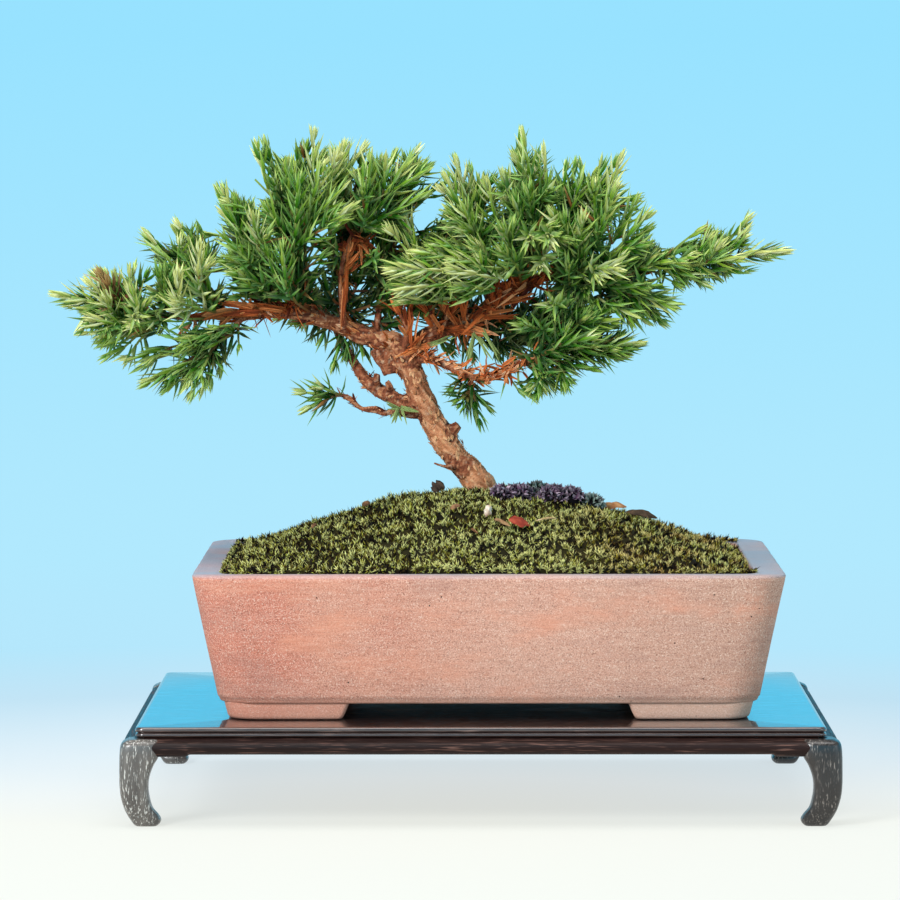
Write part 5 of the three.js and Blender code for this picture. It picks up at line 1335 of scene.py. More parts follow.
def straps(start, way, below, long, wide, curl, tone):
    """Flat curled blades with 4 rows, the keel and the foot darkened as painted shade and one
    margin brightened as painted highlight. tone runs from 0, old, to 1, new, and above that the
    strap is still green."""
    leaf = np.where((tone >= FRESH_STRAP)[:, None], linear(GREEN_STRAP), blend(tone, *DRY_TONES))
    tint = blade_tints(leaf, 13)
    # Painted shade on the keel and the foot, painted highlight on one margin.
    tint[:, 1:12:3] *= 0.5
    tint[:, 2:12:3] *= 1.35
    tint[:, :3] *= 0.75
    return blades(start, way, below, long, wide, curl, STRAP_ROWS, keel=0.14), tint.reshape(-1, 3)


DEAD_NEEDLES = [  # limb, from, to, how many, their mean tone, their share of the full length
    ("left", 0.05, 0.68, 150, 0.35, 0.45), ("left", 0.6, 1.0, 40, 0.7, 0.8),
    ("right", 0.05, 0.4, 80, 0.45, 0.4), ("right", 0.3, 0.85, 90, 0.5, 0.8),
    ("low_right", 0.15, 1.0, 170, 0.7, 0.42), ("dead_upright", 0.15, 1.0, 10, 0.4, 0.4),
    ("dead_fork", 0.15, 1.0, 36, 0.45, 0.8), ("dead_right", 0.3, 1, 24, 0.4, 0.8),
    ("dead_crotch", 0.3, 1, 28, 0.4, 0.8), ("low_left", 0.1, 0.95, 24, 0.15, 0.3),
    ("low_twig", 0.2, 1.0, 14, 0.3, 0.3),
]


def dead_needles(random):
    """They leave a limb in small groups at up to 45 degrees, more often upwards, and curl."""
    made = []
    for name, start, end, count, tone, full in DEAD_NEEDLES:
        groups = random.uniform(start, end, max(4, count // 10))
        t = np.clip(random.choice(groups, count) + random.normal(0, 0.018, count), start, end)
        around = random.uniform(0, 2 * math.pi, count)
        centre, radius, tangent, out = on_limb(name, t, around)
        lean = np.radians(random.uniform(4, 45, count))[:, None]
        way = tangent * np.cos(lean) + out * np.sin(lean) + UP * 0.35
        way = unit(way + random.normal(0, 0.25, (count, 3)))
        made.append(straps(
            centre + out * (radius * 0.8)[:, None], way, square_to(way, out),
            full * random.uniform(5, 12, count), math.sqrt(full) * random.uniform(0.8, 1.9, count),
            random.normal(0.05, 0.32, count), tone + random.normal(0, 0.25, count),
        ))
    return made


# Clumps: the spot, how many straps, how long, their mean tone, and how far they curl.
DRY_CLUMPS = [
    [-58, -5, 156, 26, 7, 0.4, 0.5], [-69, -5, 153.5, 10, 7, 0.5, 0.3],
    [-44.5, -8, 172, 6, 3.4, 0.45, 0.8], [-37.3, -9, 174.5, 30, 4.6, 0.5, 0.9],
    [-20, -5, 141.5, 20, 5, 0.6, 0.3], [-13, -5, 147, 14, 6.5, 0.45, 0.4],
    [8, -6, 158, 30, 7, 0.4, 0.9], [3, -5, 153.5, 18, 6, 0.4, 0.8], [15, -6, 162, 30, 7, 0.4, 0.9],
    [-4, -4, 147.5, 24, 5.5, 0.4, 0.7], [-15, -6.5, 137, 16, 5, 0.6, 0.6],
    [-6, -9, 134, 20, 5, 0.6, 0.5], [1, -11, 133, 24, 4.6, 0.75, 0.5],
    [9, -11.5, 134.5, 24, 4.6, 0.7, 0.5], [15, -11.5, 137.5, 18, 5, 0.65, 0.4],
    [10, -2.5, 159, 12, 10, 0.05, 0.6], [14, -1.5, 171, 16, 9, 0.1, 0.3],
    [25, -2, 165, 18, 8, 0.5, 0.4], [29, -3, 164, 14, 8, 0.6, 0.4],
    [52, -1.5, 167.5, 10, 6, 0.8, 0.2], [40, -1, 168, 10, 7, 0.5, 0.4],
]
# Long straps that lie along the wood: from, to, how wide, their tone, and how far they curl.
LAID_STRAPS = [
    [-69, -7, 153, -83, -9, 151.6, 3.4, 0.5, 0.1],
    [-78, -8, 152.5, -92.8, -11, 149.8, 3.6, 0.55, -0.1],
    [-71, -8, 154, -84, -11, 156.8, 2.4, 0.55, 0.1],
    [-80, -8, 151.5, -91, -11, 152.4, 2.4, 0.6, 0.12],
    [-62, -7, 153.5, -74, -9, 155, 2.6, 0.6, 0.1], [-77, -8, 152, -84, -10, 146.8, 2.0, 0.75, 0.2],
    [-89.6, -9, 151, -89.4, -11, 139.8, 1.7, 0.7, 0.03],
    [-91.4, -9, 149.4, -95.8, -11, 143.6, 1.7, 0.7, -0.15],
    [-43.4, -7, 148, -43, -11, 163, 1.0, 0.45, 0.02],
    [-43.2, -6, 158, -41, -12, 176, 1.5, 0.6, 0.04],
    [-42, -8, 156, -41.4, -12, 172.5, 1.2, 0.4, -0.03],
    [-41.5, -9, 170, -36.6, -12, 178, 1.5, 0.4, 0.4],
    [-41.8, -9, 167, -35.5, -12, 172.5, 1.5, 0.55, -0.3],
    [-41.4, -9, 172, -45, -11, 174.2, 1.2, 0.45, 0.3],
    [-41, -8, 165, -36.8, -12, 168.6, 1.3, 0.35, 0.3],
    [-20, -6, 141, -26.5, -9, 138.6, 2.0, 0.7, 0.1],
    [-19, -7, 141, -13.5, -9, 143.5, 1.6, 0.7, 0.2], [-21, -6, 142, -21.6, -10, 153, 2.0, 0.5, 0.1],
    [-20, -6, 142, -17.4, -10, 148.5, 1.8, 0.7, -0.1],
    [-4, -5, 148, 5.6, -9, 145.4, 2.6, 0.8, 0.15], [-10, -5, 147.5, 2, -8, 145.6, 2.2, 0.45, 0.1],
    [0, -5, 151, 14.6, -9, 152.6, 2.2, 0.5, 0.1], [6, -5, 155, 17.6, -9, 158, 2.2, 0.45, 0.15],
    [4, -6, 153, 5.4, -10, 163, 2.2, 0.35, -0.4], [8, -6, 156, 9.6, -10, 167, 2.0, 0.3, -0.4],
    [12, -6, 159, 13.2, -10, 168.5, 2.0, 0.35, 0.4],
    [-7, -6, 149, -13.4, -10, 157.4, 1.8, 0.6, 0.2],
    [-5, -6, 150, -6.8, -10, 158.8, 1.8, 0.5, -0.2], [-2, -8, 145.5, -5.4, -9, 132, 1.5, 2, 0.1],
    [-1, -9, 145, 4.4, -10, 137, 1.4, 2, -0.15], [1, -8, 147, 6.8, -9, 138.2, 1.3, 2, 0.1],
    [-16, -8, 141.6, -9.4, -10, 145.4, 1.3, 2, 0.1],
    [-25.7, -6, 122.2, -30.4, -9, 124.6, 1.4, 2, 0.1],
    [-25.7, -6, 122.2, -28.6, -9, 117, 1.3, 2, 0.1],
    [-25.4, -6, 122, -22.6, -9, 117.4, 1.2, 2, -0.1],
    [-25.2, -6, 122.4, -19.4, -9, 121.4, 1.3, 2, 0.1],
]


def laid_straps(random):
    """Each has split lengthwise into four narrow strips, which lie a little apart."""
    rows = np.repeat(np.array(LAID_STRAPS, float), 4, 0)
    count = len(rows)
    start = rows[:, :3] + random.normal(0, 0.5, (count, 3))
    run = rows[:, 3:6] - start + random.normal(0, 0.9, (count, 3))
    run = run * random.uniform(0.6, 1.05, (count, 1))
    way = unit(run)
    below = unit(np.cross(way, np.cross([0, -1.0, 0], way)) + random.normal(0, 0.3, (count, 3)))
    return [straps(
        start, way, below, np.linalg.norm(run, axis=1),
        rows[:, 6] * random.uniform(0.35, 0.7, count),
        rows[:, 8] + random.normal(0, 0.09, count), rows[:, 7] + random.normal(0, 0.13, count),
    )]


def dry_clumps(random):
    """Straps out of one spot in all directions but away from the wood, and more to the front."""
    rows = np.array(DRY_CLUMPS)
    rows = np.repeat(rows, rows[:, 3].astype(int), 0)
    count = len(rows)
    start = rows[:, :3] + random.normal(0, 1.1, (count, 3)) * [1.6, 0.7, 1]
    way = unit(random.normal(0, 1, (count, 3)) * [1.2, 0.7, 1] - [0, 0.25, 0])
    below = unit(np.cross(way, random.normal(0, 1, (count, 3))))
    return [straps(start, way, below, rows[:, 4] * random.uniform(0.6, 1.35, count),
                   random.uniform(0.6, 1.6, count), rows[:, 6] * random.normal(0, 1, count),
                   rows[:, 5] + random.normal(0, 0.24, count))]


def put_tinted(name, tinted_shapes, material, sharp):
    """Puts several (shape, tint) pairs as one piece."""
    shapes, tints = zip(*tinted_shapes)
    put(name, joined(shapes), material, tint=np.vstack(tints), sharp=sharp)


put_tinted("loose_bark_flakes", [flakes(np.random.default_rng(5))], BARK, 30)
made = dead_needles(np.random.default_rng(6)) + dry_clumps(np.random.default_rng(7))
made += laid_straps(np.random.default_rng(8))
put_tinted("dead_needles", made, BARK, 60)

# %% [markdown]
# ## Living needles
# This juniper keeps the sharp needles of its youth, 7 to 9 mm long and 1.3 mm wide, in
# whorls of three, each whorl turned half a step from the last. Old needles stand off at 58
# degrees. Those near the tip close up, and all end level, so that a shoot looks like a blunt
# brush. The face towards the stem is whitened by wax and painted highlight, the keeled back is
# green and darkened by painted shade, and this spring's growth is yellow-green.
# %% Needles on a shoot
WHORL_PITCH, NEEDLE_LONG, NEEDLE_WIDE = 2.4, 8.8, 1.3
GREENS = ("#1a4409", "#337310", "#5c9f1d", "#9cbe38", "#dadc7e")
BRONZES = ("#4a2720", "#7d4a33", "#b58a55")
STEM_TONES = ("#7a4a2c", "#6f6a34", "#8fa650")
# Youth runs from 0 to 1. Needles from WINTER on are bronze, and those at DEAD are brown.
WINTER, DEAD = 1.5, -9


def needle_material():
    material, shader, add, place, tint = matt("waxy_juniper_needles", 0.42, 0.12)
    dull = add("HueSaturation", Color=tint, Value=0.72)
    patch = add("MapRange", add("TexNoise", place, per(3), 3), 0.3, 0.7, 0, 0.45)
    finish(shader, Base_Color=coated(add, tint, (patch, dull)))
    return material


NEEDLES = needle_material()


def shoot(path, fresh, random, stem=0.7):
    """Whorls of three needles along a path of points, as rows of: start (3), direction (3), keel
    side (3), length, width, bend, youth and place along the shoot. Also the stem and its tint.
    A needle is NEEDLE_LONG long, or (distance to the tip + 0.6) / cos(lean) if that is less."""
    travelled = np.concatenate([[0], np.cumsum(np.linalg.norm(np.diff(path, axis=0), axis=1))])
    length = travelled[-1]
    whorls = max(4, int((length - 3.5) / WHORL_PITCH))
    along = np.linspace(0.05 * length, max(length - 4.2, 0.3 * length), whorls)
    centre = np.column_stack([np.interp(along, travelled, path[:, k]) for k in range(3)])
    tangent, across, up = line_frame(centre)
    # The last whorl is doubled, so that the brush has a full tip.
    order = np.concatenate([np.repeat(np.arange(whorls), 3), np.full(6, whorls - 1)])
    which = np.concatenate([np.tile([0, 120, 240], whorls), [20, 80, 140, 200, 260, 320]])
    count = len(order)
    around = np.radians(which + 60 * order + random.normal(0, 14, count))
    out = across[order] * np.cos(around)[:, None] + up[order] * np.sin(around)[:, None]
    place = order / (whorls - 1)
    lean = 58 - 30 * place**1.4 + random.normal(0, 7, count)
    lean[-6:] = random.uniform(6, 22, 6)
    lean = np.radians(lean)[:, None]
    way = tangent[order] * np.cos(lean) + out * np.sin(lean)
    below = out * np.cos(lean) - tangent[order] * np.sin(lean)
    level_tip = (length - along[order] + 0.6) / np.cos(lean[:, 0])
    long = np.minimum(NEEDLE_LONG, level_tip) * random.uniform(0.86, 1.06, count)
    wide = NEEDLE_WIDE * random.uniform(0.8, 1.15, count) * np.sqrt(np.minimum(1, long / 6.5))
    bend = random.normal(0.11, 0.06, count)
    youth = fresh + (place - 0.55) * 0.7 + random.normal(0, 0.15, count)
    youth[(random.random(count) < 0.05) & (place < 0.4)] = DEAD
    some = np.linspace(0, whorls - 1, 4).round().astype(int)
    twig = sleeve(np.vstack([path[:1], centre[some]]), np.linspace(stem, 0.35, 5), 3)
    bark = blend(np.append(0, some / (whorls - 1)) * 1.3 - 0.5 + fresh, *STEM_TONES)
    bark = np.vstack([np.repeat(bark, 3, 0), bark[:1], bark[-1:]])
    start = centre[order] + out * 0.35
    return np.column_stack([start, way, below, long, wide, bend, youth, place]), twig, bark


def needle_tint(youth, place):
    """Seven colours a needle: one margin whitened by wax and painted highlight, the other margin,
    the green keel and the foot darkened as painted shade, and a pale tip."""
    dead, bronze = youth < DEAD / 2, youth > WINTER
    leaf = np.where(bronze[:, None], blend(place, *BRONZES), blend(youth, *GREENS))
    leaf = np.where(dead[:, None], linear("#a06a38"), leaf)
    tint = blade_tints(leaf, 7)
    # wax is partly the needles' own wax and partly painted highlight.
    wax = (0.05 + 0.5 * np.clip(youth, 0, 1) ** 2) * ~(dead | bronze)
    wax = wax[:, None, None]
    waxed, painted_shade_margins = [2, 5], [0, 3]
    tint[:, waxed] = tint[:, waxed] * (1 - wax) + linear("#e8f0de") * wax
    tint[:, painted_shade_margins] *= 0.62
    tint[:, :3] *= 0.6
    tint[:, 4] *= 0.62
    tint[:, 6] = tint[:, 6] * 0.65 + linear("#cfc783") * 0.35
    return tint.reshape(-1, 3)


# %% [markdown]
# ## Shoots and side shoots
# The crown has two layers. The one inside grows by rule, and is darker as old growth and as
# painted shade: a shoot branches two or three times, to alternate sides and at about 40 degrees,
# with shorter side shoots towards the tip, and more shoots fill the spaces between. The outer one
# is placed shoot by shoot, and is paler and yellow-green, apart from old shoots at the back that
# close the view, dark as old growth and as painted shade. A gardener pinches such a crown back to
# an outline and keeps gaps in it that show the limbs, so what grows past the outline or into a
# gap is clipped.
# %% The crown
FILLING = 0.6
# The share of needles that a bough keeps if it has grown too little light to hold them all.
THINNED = {"hanging": 0.5, "left_low": 0.75, "low_left_twig": 0.8}
WITHOUT_CLIPPING = ("low_left_twig",)
FRONT_OF_WOOD_Y, FURTHEST_FRONT_Y = -3, -22
CROWN_MIDDLE, CROWN_HALF = np.array([-20.0, 0, 160]), np.array([115, 45, 52])


def side_shoots(path, random, shares=(0.22, 0.42, 0.62)):
    """Paths that leave a shoot at shares of its length, turned by 34 to 50 degrees."""
    length = np.linalg.norm(path[-1] - path[0])
    made = []
    spin = random.uniform(0, 2 * math.pi)
    for k, share in enumerate(shares if length > 24 else shares[:2]):
        long = length * (1 - share) * random.uniform(0.55, 0.8)
        if long < 8.5:
            continue
        at = int(share * (len(path) - 1))
        start, tangent = path[at], unit(path[at + 1] - path[at])
        around = spin + k * math.pi + random.normal(0, 0.5)
        first = unit(np.cross(tangent, [0.3, 1.0, 0.2]))
        out = first * math.cos(around) + np.cross(tangent, first) * math.sin(around)
        angle = math.radians(random.uniform(34, 50))
        end = start + (tangent * math.cos(angle) + out * math.sin(angle)) * long + UP * 0.06 * long
        made.append(curve(start, start + tangent * long * 0.42 + out * long * 0.22, end))
    return made


def curve(a, b, c):
    """Bezier curve in 24 points: (1-t)**2 a + 2t(1-t) b + t**2 c."""
    t = np.linspace(0, 1, 24)[:, None]
    return (1 - t) ** 2 * a + 2 * t * (1 - t) * b + t**2 * c


# How far a shoot stays inside the solids' box, and above the moss.
box_low = np.array(cad_low) / MM - STAND_MIDDLE + [1, 3, 0]
box_high = np.array(cad_high) / MM - STAND_MIDDLE - [1, 3, 2]
ABOVE_MOSS = 6


def from_the_front(points):
    """Where a straight look from the front meets the upright plane through the trunk, y = 0:
    eye + (point - eye) * depth of the eye / depth of the point."""
    away = points - np.array(EYE)
    return (np.array(EYE) - away * (EYE[1] / away[:, 1])[:, None])[:, [0, 2]]


def inside(places, outline):
    """Even-odd rule: a place is inside if a level line from it crosses the outline an odd number
    of times."""
    x, z = places[:, :1], places[:, 1:]
    (x0, z0), (x1, z1) = np.array(outline, float).T, np.roll(outline, -1, 0).T
    crossing = x0 + (z - z0) * (x1 - x0) / np.where(z1 == z0, 1, z1 - z0)
    return (((z0 > z) != (z1 > z)) & (x < crossing)).sum(1) % 2 == 1


def clipped(needles):
    """Keeps the needles that end within the outline, cross no gap, and cross no window in front
    of the wood."""
    start, run = needles[:, :3], needles[:, 3:6] * needles[:, 9:10]
    kept = inside(from_the_front(start + run * 0.85), CROWN_OUTLINE)
    for share in (0.3, 0.55, 0.8, 0.98):
        seen = from_the_front(start + run * share)
        behind = (start + run * share)[:, 1] >= FRONT_OF_WOOD_Y
        for holes, spared in ((CROWN_GAPS, False), (CROWN_WINDOWS, behind)):
            for x, z, half_x, half_z in holes:
                kept &= (((seen - [x, z]) / [half_x, half_z]) ** 2 @ [1, 1] > 1) | spared
    return needles[kept]


def filling_shoots(bough, random):
    """Shoots that fill a bough between its placed ones: each ends between two of their tips, and
    leaves the twig between their feet."""
    placed = np.array(bough["shoots"])
    made = []
    for _ in range(round(FILLING * len(placed))):
        i, j = random.integers(0, len(placed), 2)
        w = random.uniform(0.25, 0.75)
        share, *end = placed[i] * w + placed[j] * (1 - w)
        made.append([share, *(np.array(end) + random.normal(0, 2.5, 3))])
    return made


def inner_paths(bough, twig, random):
    """The shoots that grow by rule, drawn in until they end within the outline."""
    shoots = bough["shoots"] + (filling_shoots(bough, random) if len(bough["shoots"]) > 1 else [])
    made = []
    for share, *end in shoots:
        at = int(round(share * 100))
        a, c = twig[at], np.array(end, float)
        c[1] = max(c[1], FURTHEST_FRONT_Y)
        tangent = unit(twig[min(at + 1, 100)] - twig[max(at - 1, 0)])
        path = curve(a, (a + c) / 2 + 0.15 * np.linalg.norm(c - a) * tangent, c)
        made.append((path, 0.7))
        for side in side_shoots(path, random):
            end = side[-1]
            in_box = (end > box_low).all() and (end < box_high).all()
            if in_box and end[2] > mound(*end[:2]) + ABOVE_MOSS:
                made.append((side, 0.5))
    for path, stem in made:
        for shorter in (1, 0.85, 0.7, 0.55):
            drawn_in = path[0] + (path - path[0]) * shorter
            if inside(from_the_front(drawn_in[-1:]), CROWN_OUTLINE)[0]:
                break
        yield drawn_in, stem


def outer_paths(rows, twig, random):
    """The listed shoots. Each leaves the nearest point of the bough's twig, passes its first
    point and ends at its second, and most send out one side shoot."""
    for *points, fresh in rows:
        first, last = np.array(points, float).reshape(2, 3)
        foot = twig[np.linalg.norm(twig - first, axis=1).argmin()]
        middle = (first + last) / 2 + UP * 0.04 * np.linalg.norm(last - first)
        way = curve(first, middle, last)
        lead = curve(foot, foot * 0.35 + first * 0.65, first)[:-1:4]
        yield np.vstack([lead, way]), fresh, 0.6
        for side in side_shoots(way, random, (0.3,)):
            yield side, fresh - 0.05, 0.45


def grow_bough(name, bough, random):
    twig = smooth_line(bough["twig"], np.linspace(0, 1, 101))[:, :3]
    grown = [shoot(twig[25:], 0.2, random)] if name != "low_left_twig" else []
    for path, stem in inner_paths(bough, twig, random):
        # Shoots deep inside the crown are darker, as old growth and as painted shade.
        outer = np.linalg.norm((path[-1] - CROWN_MIDDLE) / CROWN_HALF)
        fresh = 0.04 + 0.34 * np.clip(outer, 0, 1.05) ** 2 + 0.1 * (path[-1][1] > 0)
        fresh += random.normal(0, 0.08)
        grown.append(shoot(path, fresh, random, stem))
    for path, fresh, stem in outer_paths(PLACED_SHOOTS.get(name, []), twig, random):
        grown.append(shoot(path, fresh + random.normal(0.08, 0.05), random, stem))
    needles = np.vstack([rows for rows, _, _ in grown])
    needles = needles[random.random(len(needles)) < THINNED.get(name, 1)]
    if name not in WITHOUT_CLIPPING:
        needles = clipped(needles)
    shape = blades(*np.hsplit(needles[:, :9], 3), *needles[:, 9:12].T)
    tint = np.vstack([needle_tint(*needles[:, 12:].T)] + [bark for _, _, bark in grown])
    return joined([shape] + [stem for _, stem, _ in grown]), tint, len(grown)


shoot_count = 0
for index, (name, bough) in enumerate(BOUGHS.items()):
    foliage, foliage_tint, grown = grow_bough(name, bough, np.random.default_rng(100 + index))
    shoot_count += grown
    put(f"foliage_{name}", foliage, NEEDLES, [f"bough_{name}"], tint=foliage_tint)
print("shoots in all:", shoot_count)

# %% [markdown]
# ## Small things on the moss
# A pale chip and a dark one, bits of bark, two twigs and a dry leaf have dropped on the moss. Each
# is a ragged strip, set on the moss under it and a little sunk in. On the ridge grows a clump of
# small fleshy leaves, purple from the cold: blades again, their feet darkened as painted shade,
# on near-black lumpy domes that are painted shade inside the clump.
# %% Small things on the moss
def on_moss(x, y, lift):
    return np.array([x, y, moss_top(x, y)[0] + lift])


def lumpy_round(middle, size, seed, rings=9, sides=14):
    """A ball of half sizes `size`, each point pushed in or out by up to 15 percent."""
    polar = np.linspace(0.15, math.pi - 0.15, rings)[:, None]
    a = np.linspace(0, 2 * math.pi, sides, endpoint=False)[None]
    wide, high = np.sin(polar), np.cos(polar)
    ball = np.stack([wide * np.cos(a), wide * np.sin(a), high + 0 * a], -1)
    swell = 1 + 0.3 * (lumps(ball.reshape(-1, 3) + seed, 0.8, seed) - 0.5)
    return skin(middle + ball * size * swell.reshape(rings, sides, 1))


ROLL = 0.7


def strip(middle, long, wide, thick, turn, tilt, seed):
    """A ragged strip along (cos turn, sin turn) and tilted up: flat oval sections that taper to
    both ends, bowed by 8 percent of the length and rolled on their long axis."""
    s = np.linspace(-1, 1, 11)[:, None, None]
    a = np.linspace(0, 2 * math.pi, 8, endpoint=False)[None, :, None]
    ahead, flat = (np.array([math.cos(b), math.sin(b), 0]) for b in (turn, turn + math.pi / 2))
    run = ahead * math.cos(tilt) + UP * math.sin(tilt)
    across = flat * math.cos(ROLL) + np.cross(run, flat) * math.sin(ROLL)
    square = np.cross(run, across)
    ring = np.concatenate(np.broadcast_arrays(4 * s, 1.3 * np.cos(a), 1.3 * np.sin(a)), -1)
    ragged = lumps(ring.reshape(-1, 3) + seed, 0.8, seed).reshape(11, 8, 1)
    full = (1 - 0.85 * np.abs(s) ** 3) * (0.4 + 1.1 * ragged)
    bow = square * 0.08 * long * (1 - s**2)
    section = across * np.cos(a) * wide / 2 + square * np.sin(a) * thick / 2
    return skin(middle + run * s * long / 2 + bow + full * section)


def tinted(shape, colour, other):
    """The shape with patches of the other colour, 1.5 mm across."""
    share = np.clip(layered(shape[0], 1.5, 3) * 3 - 1, 0, 1)[:, None]
    return shape, linear(colour) * (1 - share) + linear(other) * share


LITTER = [  # place (x, y), how far its middle stands over the moss, long, wide, thick, turn, tilt,
    # the seed of its ragged edge, its colour and the colour of its patches
    (2.2, -29.9, 2.6, 4.4, 2.4, 1.7, 1.2, 0.9, 9, "#e2d3c0", "#b08468"),
    (-13.4, -2, 3.0, 4.6, 4.2, 3.0, 0.6, 0.5, 4, "#2e221a", "#5a4536"),
    (6.6, -37.5, 2.4, 12.5, 1.3, 0.9, -1.15, -0.1, 125, "#6e4a2f", "#a9825a"),
    (20.4, -37.8, 2.4, 7.5, 0.8, 0.7, 0.5, 0.05, 75, "#c9ad84", "#a58356"),
    (12, -40.4, 2.7, 7.4, 4.2, 0.7, 0.4, -0.25, 74, "#7a2418", "#a84a34"),
    (50.8, -6.3, 2.3, 10.2, 2.8, 1.2, 0.1, -0.2, 102, "#2c2019", "#56402f"),
    (41, -1, 2.3, 10.5, 2.9, 1.4, 0.05, 0.02, 105, "#9a5f39", "#cf9b6b"),
    (-35.9, -5.6, 1.9, 3.4, 1.8, 0.9, 0.8, 0.3, 34, "#4f3423", "#8a6042"),
    (-1.9, -44.8, 1.9, 3.4, 1.9, 0.8, 2.2, 0.3, 34, "#74492f", "#a06f49"),
    (-7.8, -29.5, 1.9, 3.4, 1.8, 0.8, 0.3, 0.4, 34, "#5d3e29", "#93694a"),
    (-52, -20, 1.8, 3.0, 1.4, 0.8, 1.0, 0.3, 30, "#5a3b27", "#8a6042"),
    (58, 22, 2.2, 5.0, 1.8, 1.0, 2.0, 0.0, 50, "#8a5c3c", "#b88b60"),
    (-20, 34, 2.2, 6.0, 1.4, 1.0, 0.6, 0.0, 60, "#6f4a31", "#a5794f"),
]
litter = [
    tinted(strip(on_moss(*place), *sizes_and_turns), *colours)
    for place, sizes_and_turns, colours in ((row[:3], row[3:9], row[9:]) for row in LITTER)
]
put_tinted("litter_on_moss", litter, BARK, 50)


def ridge_clump(domes, random):
    """Blades that stand out from each dome, leaning sideways by chance, over a near-black core that
    is painted shade; the blades' feet are darkened as painted shade.
    """
    pieces = []
    for x, y, radius, count, *tones in domes:
        middle = on_moss(x, y, 0.3)
        painted_shade_core = lumpy_round(middle, np.array([0.85, 0.85, 0.75]) * radius, 3)
        pieces.append((painted_shade_core, np.broadcast_to(linear("#0b070a"), painted_shade_core[0].shape)))
        out = random.normal(0, 1, (count, 3))
        out[:, 2] = np.abs(out[:, 2]) + 0.1
        out = unit(out)
        way = unit(out + random.normal(0, 0.45, out.shape))
        below = unit(np.cross(way, random.normal(0, 1, out.shape)))
        long = random.uniform(1.2, 2.0, count)
        leaf = blades(middle + out * radius * [0.85, 0.85, 0.8], way, below, long,
                      random.uniform(0.8, 1.4, count), random.normal(0.1, 0.3, count))
        tint = blade_tints(blend(random.uniform(0, 1, count) ** 1.4, *tones), 7, 0.4)
        tint[:, 6] = tint[:, 6] * 0.6 + linear("#b4a6ae") * 0.4
        pieces.append((leaf, tint.reshape(-1, 3)))
    return pieces


PURPLES = ("#140a12", "#3a2234", "#6e4a62", "#bba5ae")
GREYGREENS = ("#1c2620", "#48584c", "#98a89a")
DOMES = [  # place (x, y), radius, how many leaves, their tones
    (7, -12, 4.4, 190, *PURPLES), (12, -10, 5.2, 280, *PURPLES), (18, -4, 4.4, 190, *GREYGREENS),
    (23, -9, 5.2, 280, *PURPLES), (28.5, -8, 4.2, 190, *PURPLES), (34.5, -6, 4.6, 220, *GREYGREENS),
]
put_tinted("clump_on_ridge", ridge_clump(DOMES, np.random.default_rng(41)), MOSS, 60)

# %% [markdown]
# ## The studio
# A pale sweep behind the tree, white on the floor and sky blue further off, and soft light: a
# wide box overhead, a large one in front and to the left, and a weaker one from the right. The
# sweep is one surface of revolution, so that every side has it.
# %% Floor and sweep
def studio_sweep():
    """A disc that curves up into a wall: radius and height of each ring, turned round Z."""
    bow = np.linspace(0.1, math.pi / 2, 16)
    radius = np.concatenate([np.linspace(0.02, 3.0, 60), 3.0 + 0.6 * np.sin(bow), [3.6]])
    height = np.concatenate([np.zeros(60), 0.6 * (1 - np.cos(bow)), [2.2]])
    a = np.linspace(0, 2 * math.pi, 96, endpoint=False)
    circles = radius[:, None, None] * np.stack([np.cos(a), np.sin(a)], -1)
    rings = np.array([level(circle, z) for circle, z in zip(circles, height)])
    points = np.vstack([rings.reshape(-1, 3), [[0, 0, 0]]])
    ring = np.arange(96)
    middle = np.stack([np.roll(ring, -1), ring, np.full(96, len(points) - 1)], 1)
    mesh = bpy.data.meshes.new("studio_sweep")
    mesh.from_pydata(points.tolist(), [], grid_faces(len(radius), 96).tolist() + middle.tolist())
    mesh.shade_smooth()
    return mesh


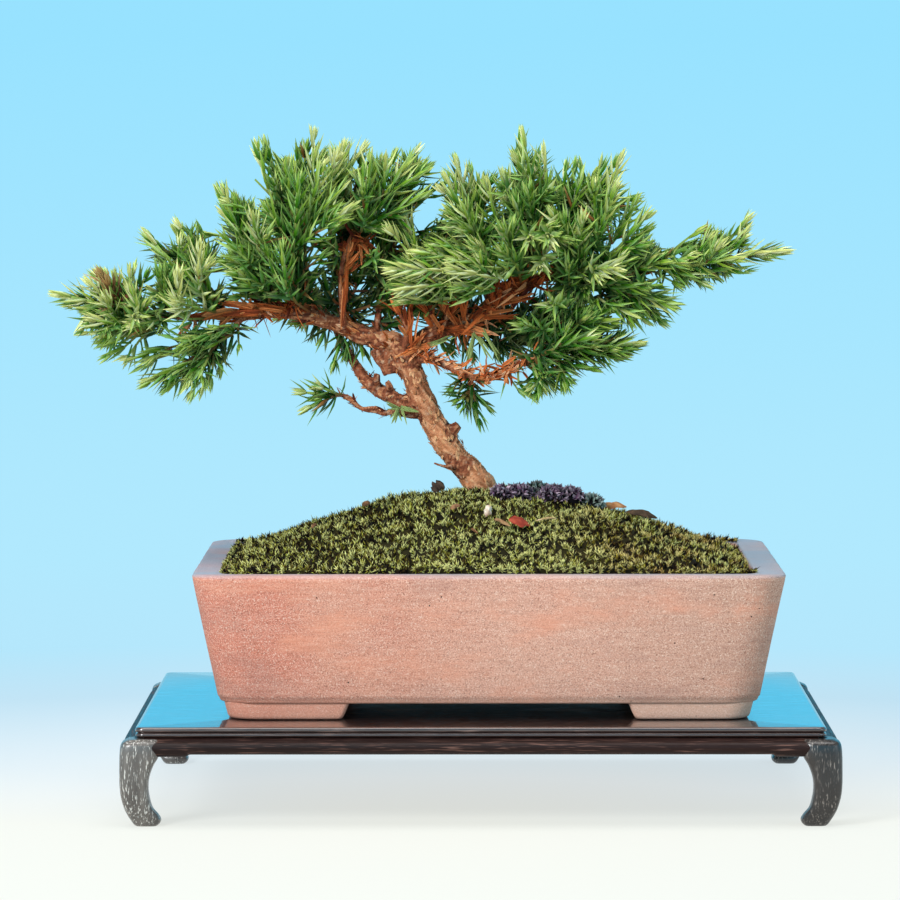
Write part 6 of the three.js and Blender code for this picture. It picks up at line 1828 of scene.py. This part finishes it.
def paper_material():
    """Paper that is white round the object and sky blue behind it. Far off it glows a little, so
    that it stays as even as a lit backdrop."""
    material, shader, add, place = new_material(
        "studio_paper", Roughness=0.9, Specular_IOR_Level=0.0
    )
    nearer = add("VectorMath", place, (0, 0.12, 0), operation="ADD")
    away = add("VectorMath", nearer, operation="LENGTH")
    y, z = (add("SeparateXYZ", nearer, out=axis) for axis in "YZ")
    behind = add("MapRange", add("Math", y, away, operation="DIVIDE"), 0.35, 0.8)
    sky = add("ValToRGB", add("MapRange", away, 0.0, 4.0), stops=[
        (0.013, "#f9f1e3"), (0.04, "#f6f4f0"), (0.065, "#e5ebee"), (0.105, "#c7e1ef"),
        (0.15, "#b9e8fc"), (0.26, "#b5eafe"), (0.6, "#aee8fe"), (0.9, "#a9e7ff"),
    ])
    further = add("MapRange", away, 0.0, 2.6)
    white = add("ValToRGB", further, stops=[(0.0, "#f9f1e3"), (1.0, "#e9f1f4")])
    # A deeper band above the picture, which only the lacquer mirrors.
    band = add("MapRange", z, 0.365, 0.39)
    colour = coated(add, white, (behind, sky), (add("MapRange", z, -0.05, 0.3), "#98e2ff"),
                    (band, "#60d6ff"))
    glow = add("MapRange", away, 0.2, 0.6, 0.8, 1.0)
    brighter = add("Math", band, 0.2, glow, operation="MULTIPLY_ADD")
    finish(shader, Base_Color=coated(add, colour, (glow, "#000000")), Emission_Color=colour,
           Emission_Strength=brighter)
    return material


sweep = bpy.data.objects.new("studio_sweep", studio_sweep())
sweep.data.materials.append(paper_material())
bpy.context.scene.collection.objects.link(sweep)


# %% Lights
def softbox(name, place, aim, size, power, colour="#ffffff"):
    light = bpy.data.lights.new(name, "AREA")
    light.shape, light.size, light.size_y = "RECTANGLE", *size
    light.energy, light.color = power, tuple(linear(colour))
    lamp = bpy.data.objects.new(name, light)
    lamp.location = place
    direction = np.array(aim) - np.array(place)
    flat_turn = math.atan2(direction[0], -direction[1])
    tilt = math.atan2(math.hypot(*direction[:2]), -direction[2])
    lamp.rotation_euler = (tilt, 0, flat_turn + math.pi)
    lamp.visible_camera = False
    bpy.context.scene.collection.objects.link(lamp)
    return lamp


softbox("overhead_box", (0.0, -0.15, 1.3), (0, 0, 0.1), (1.3, 1.0), 15)
softbox("front_box", (-0.9, -1.3, 0.9), (0, 0, 0.1), (0.5, 0.5), 30)
softbox("right_box", (1.1, -0.9, 0.6), (0, 0, 0.1), (0.7, 0.7), 3)
world = bpy.data.worlds.new("pale_room")
world.use_nodes = True
world.node_tree.nodes["Background"].inputs[0].default_value = rgba("#f4f4f2")
world.node_tree.nodes["Background"].inputs[1].default_value = 0.32
bpy.context.scene.world = world
bpy.context.scene.view_settings.view_transform = "Standard"
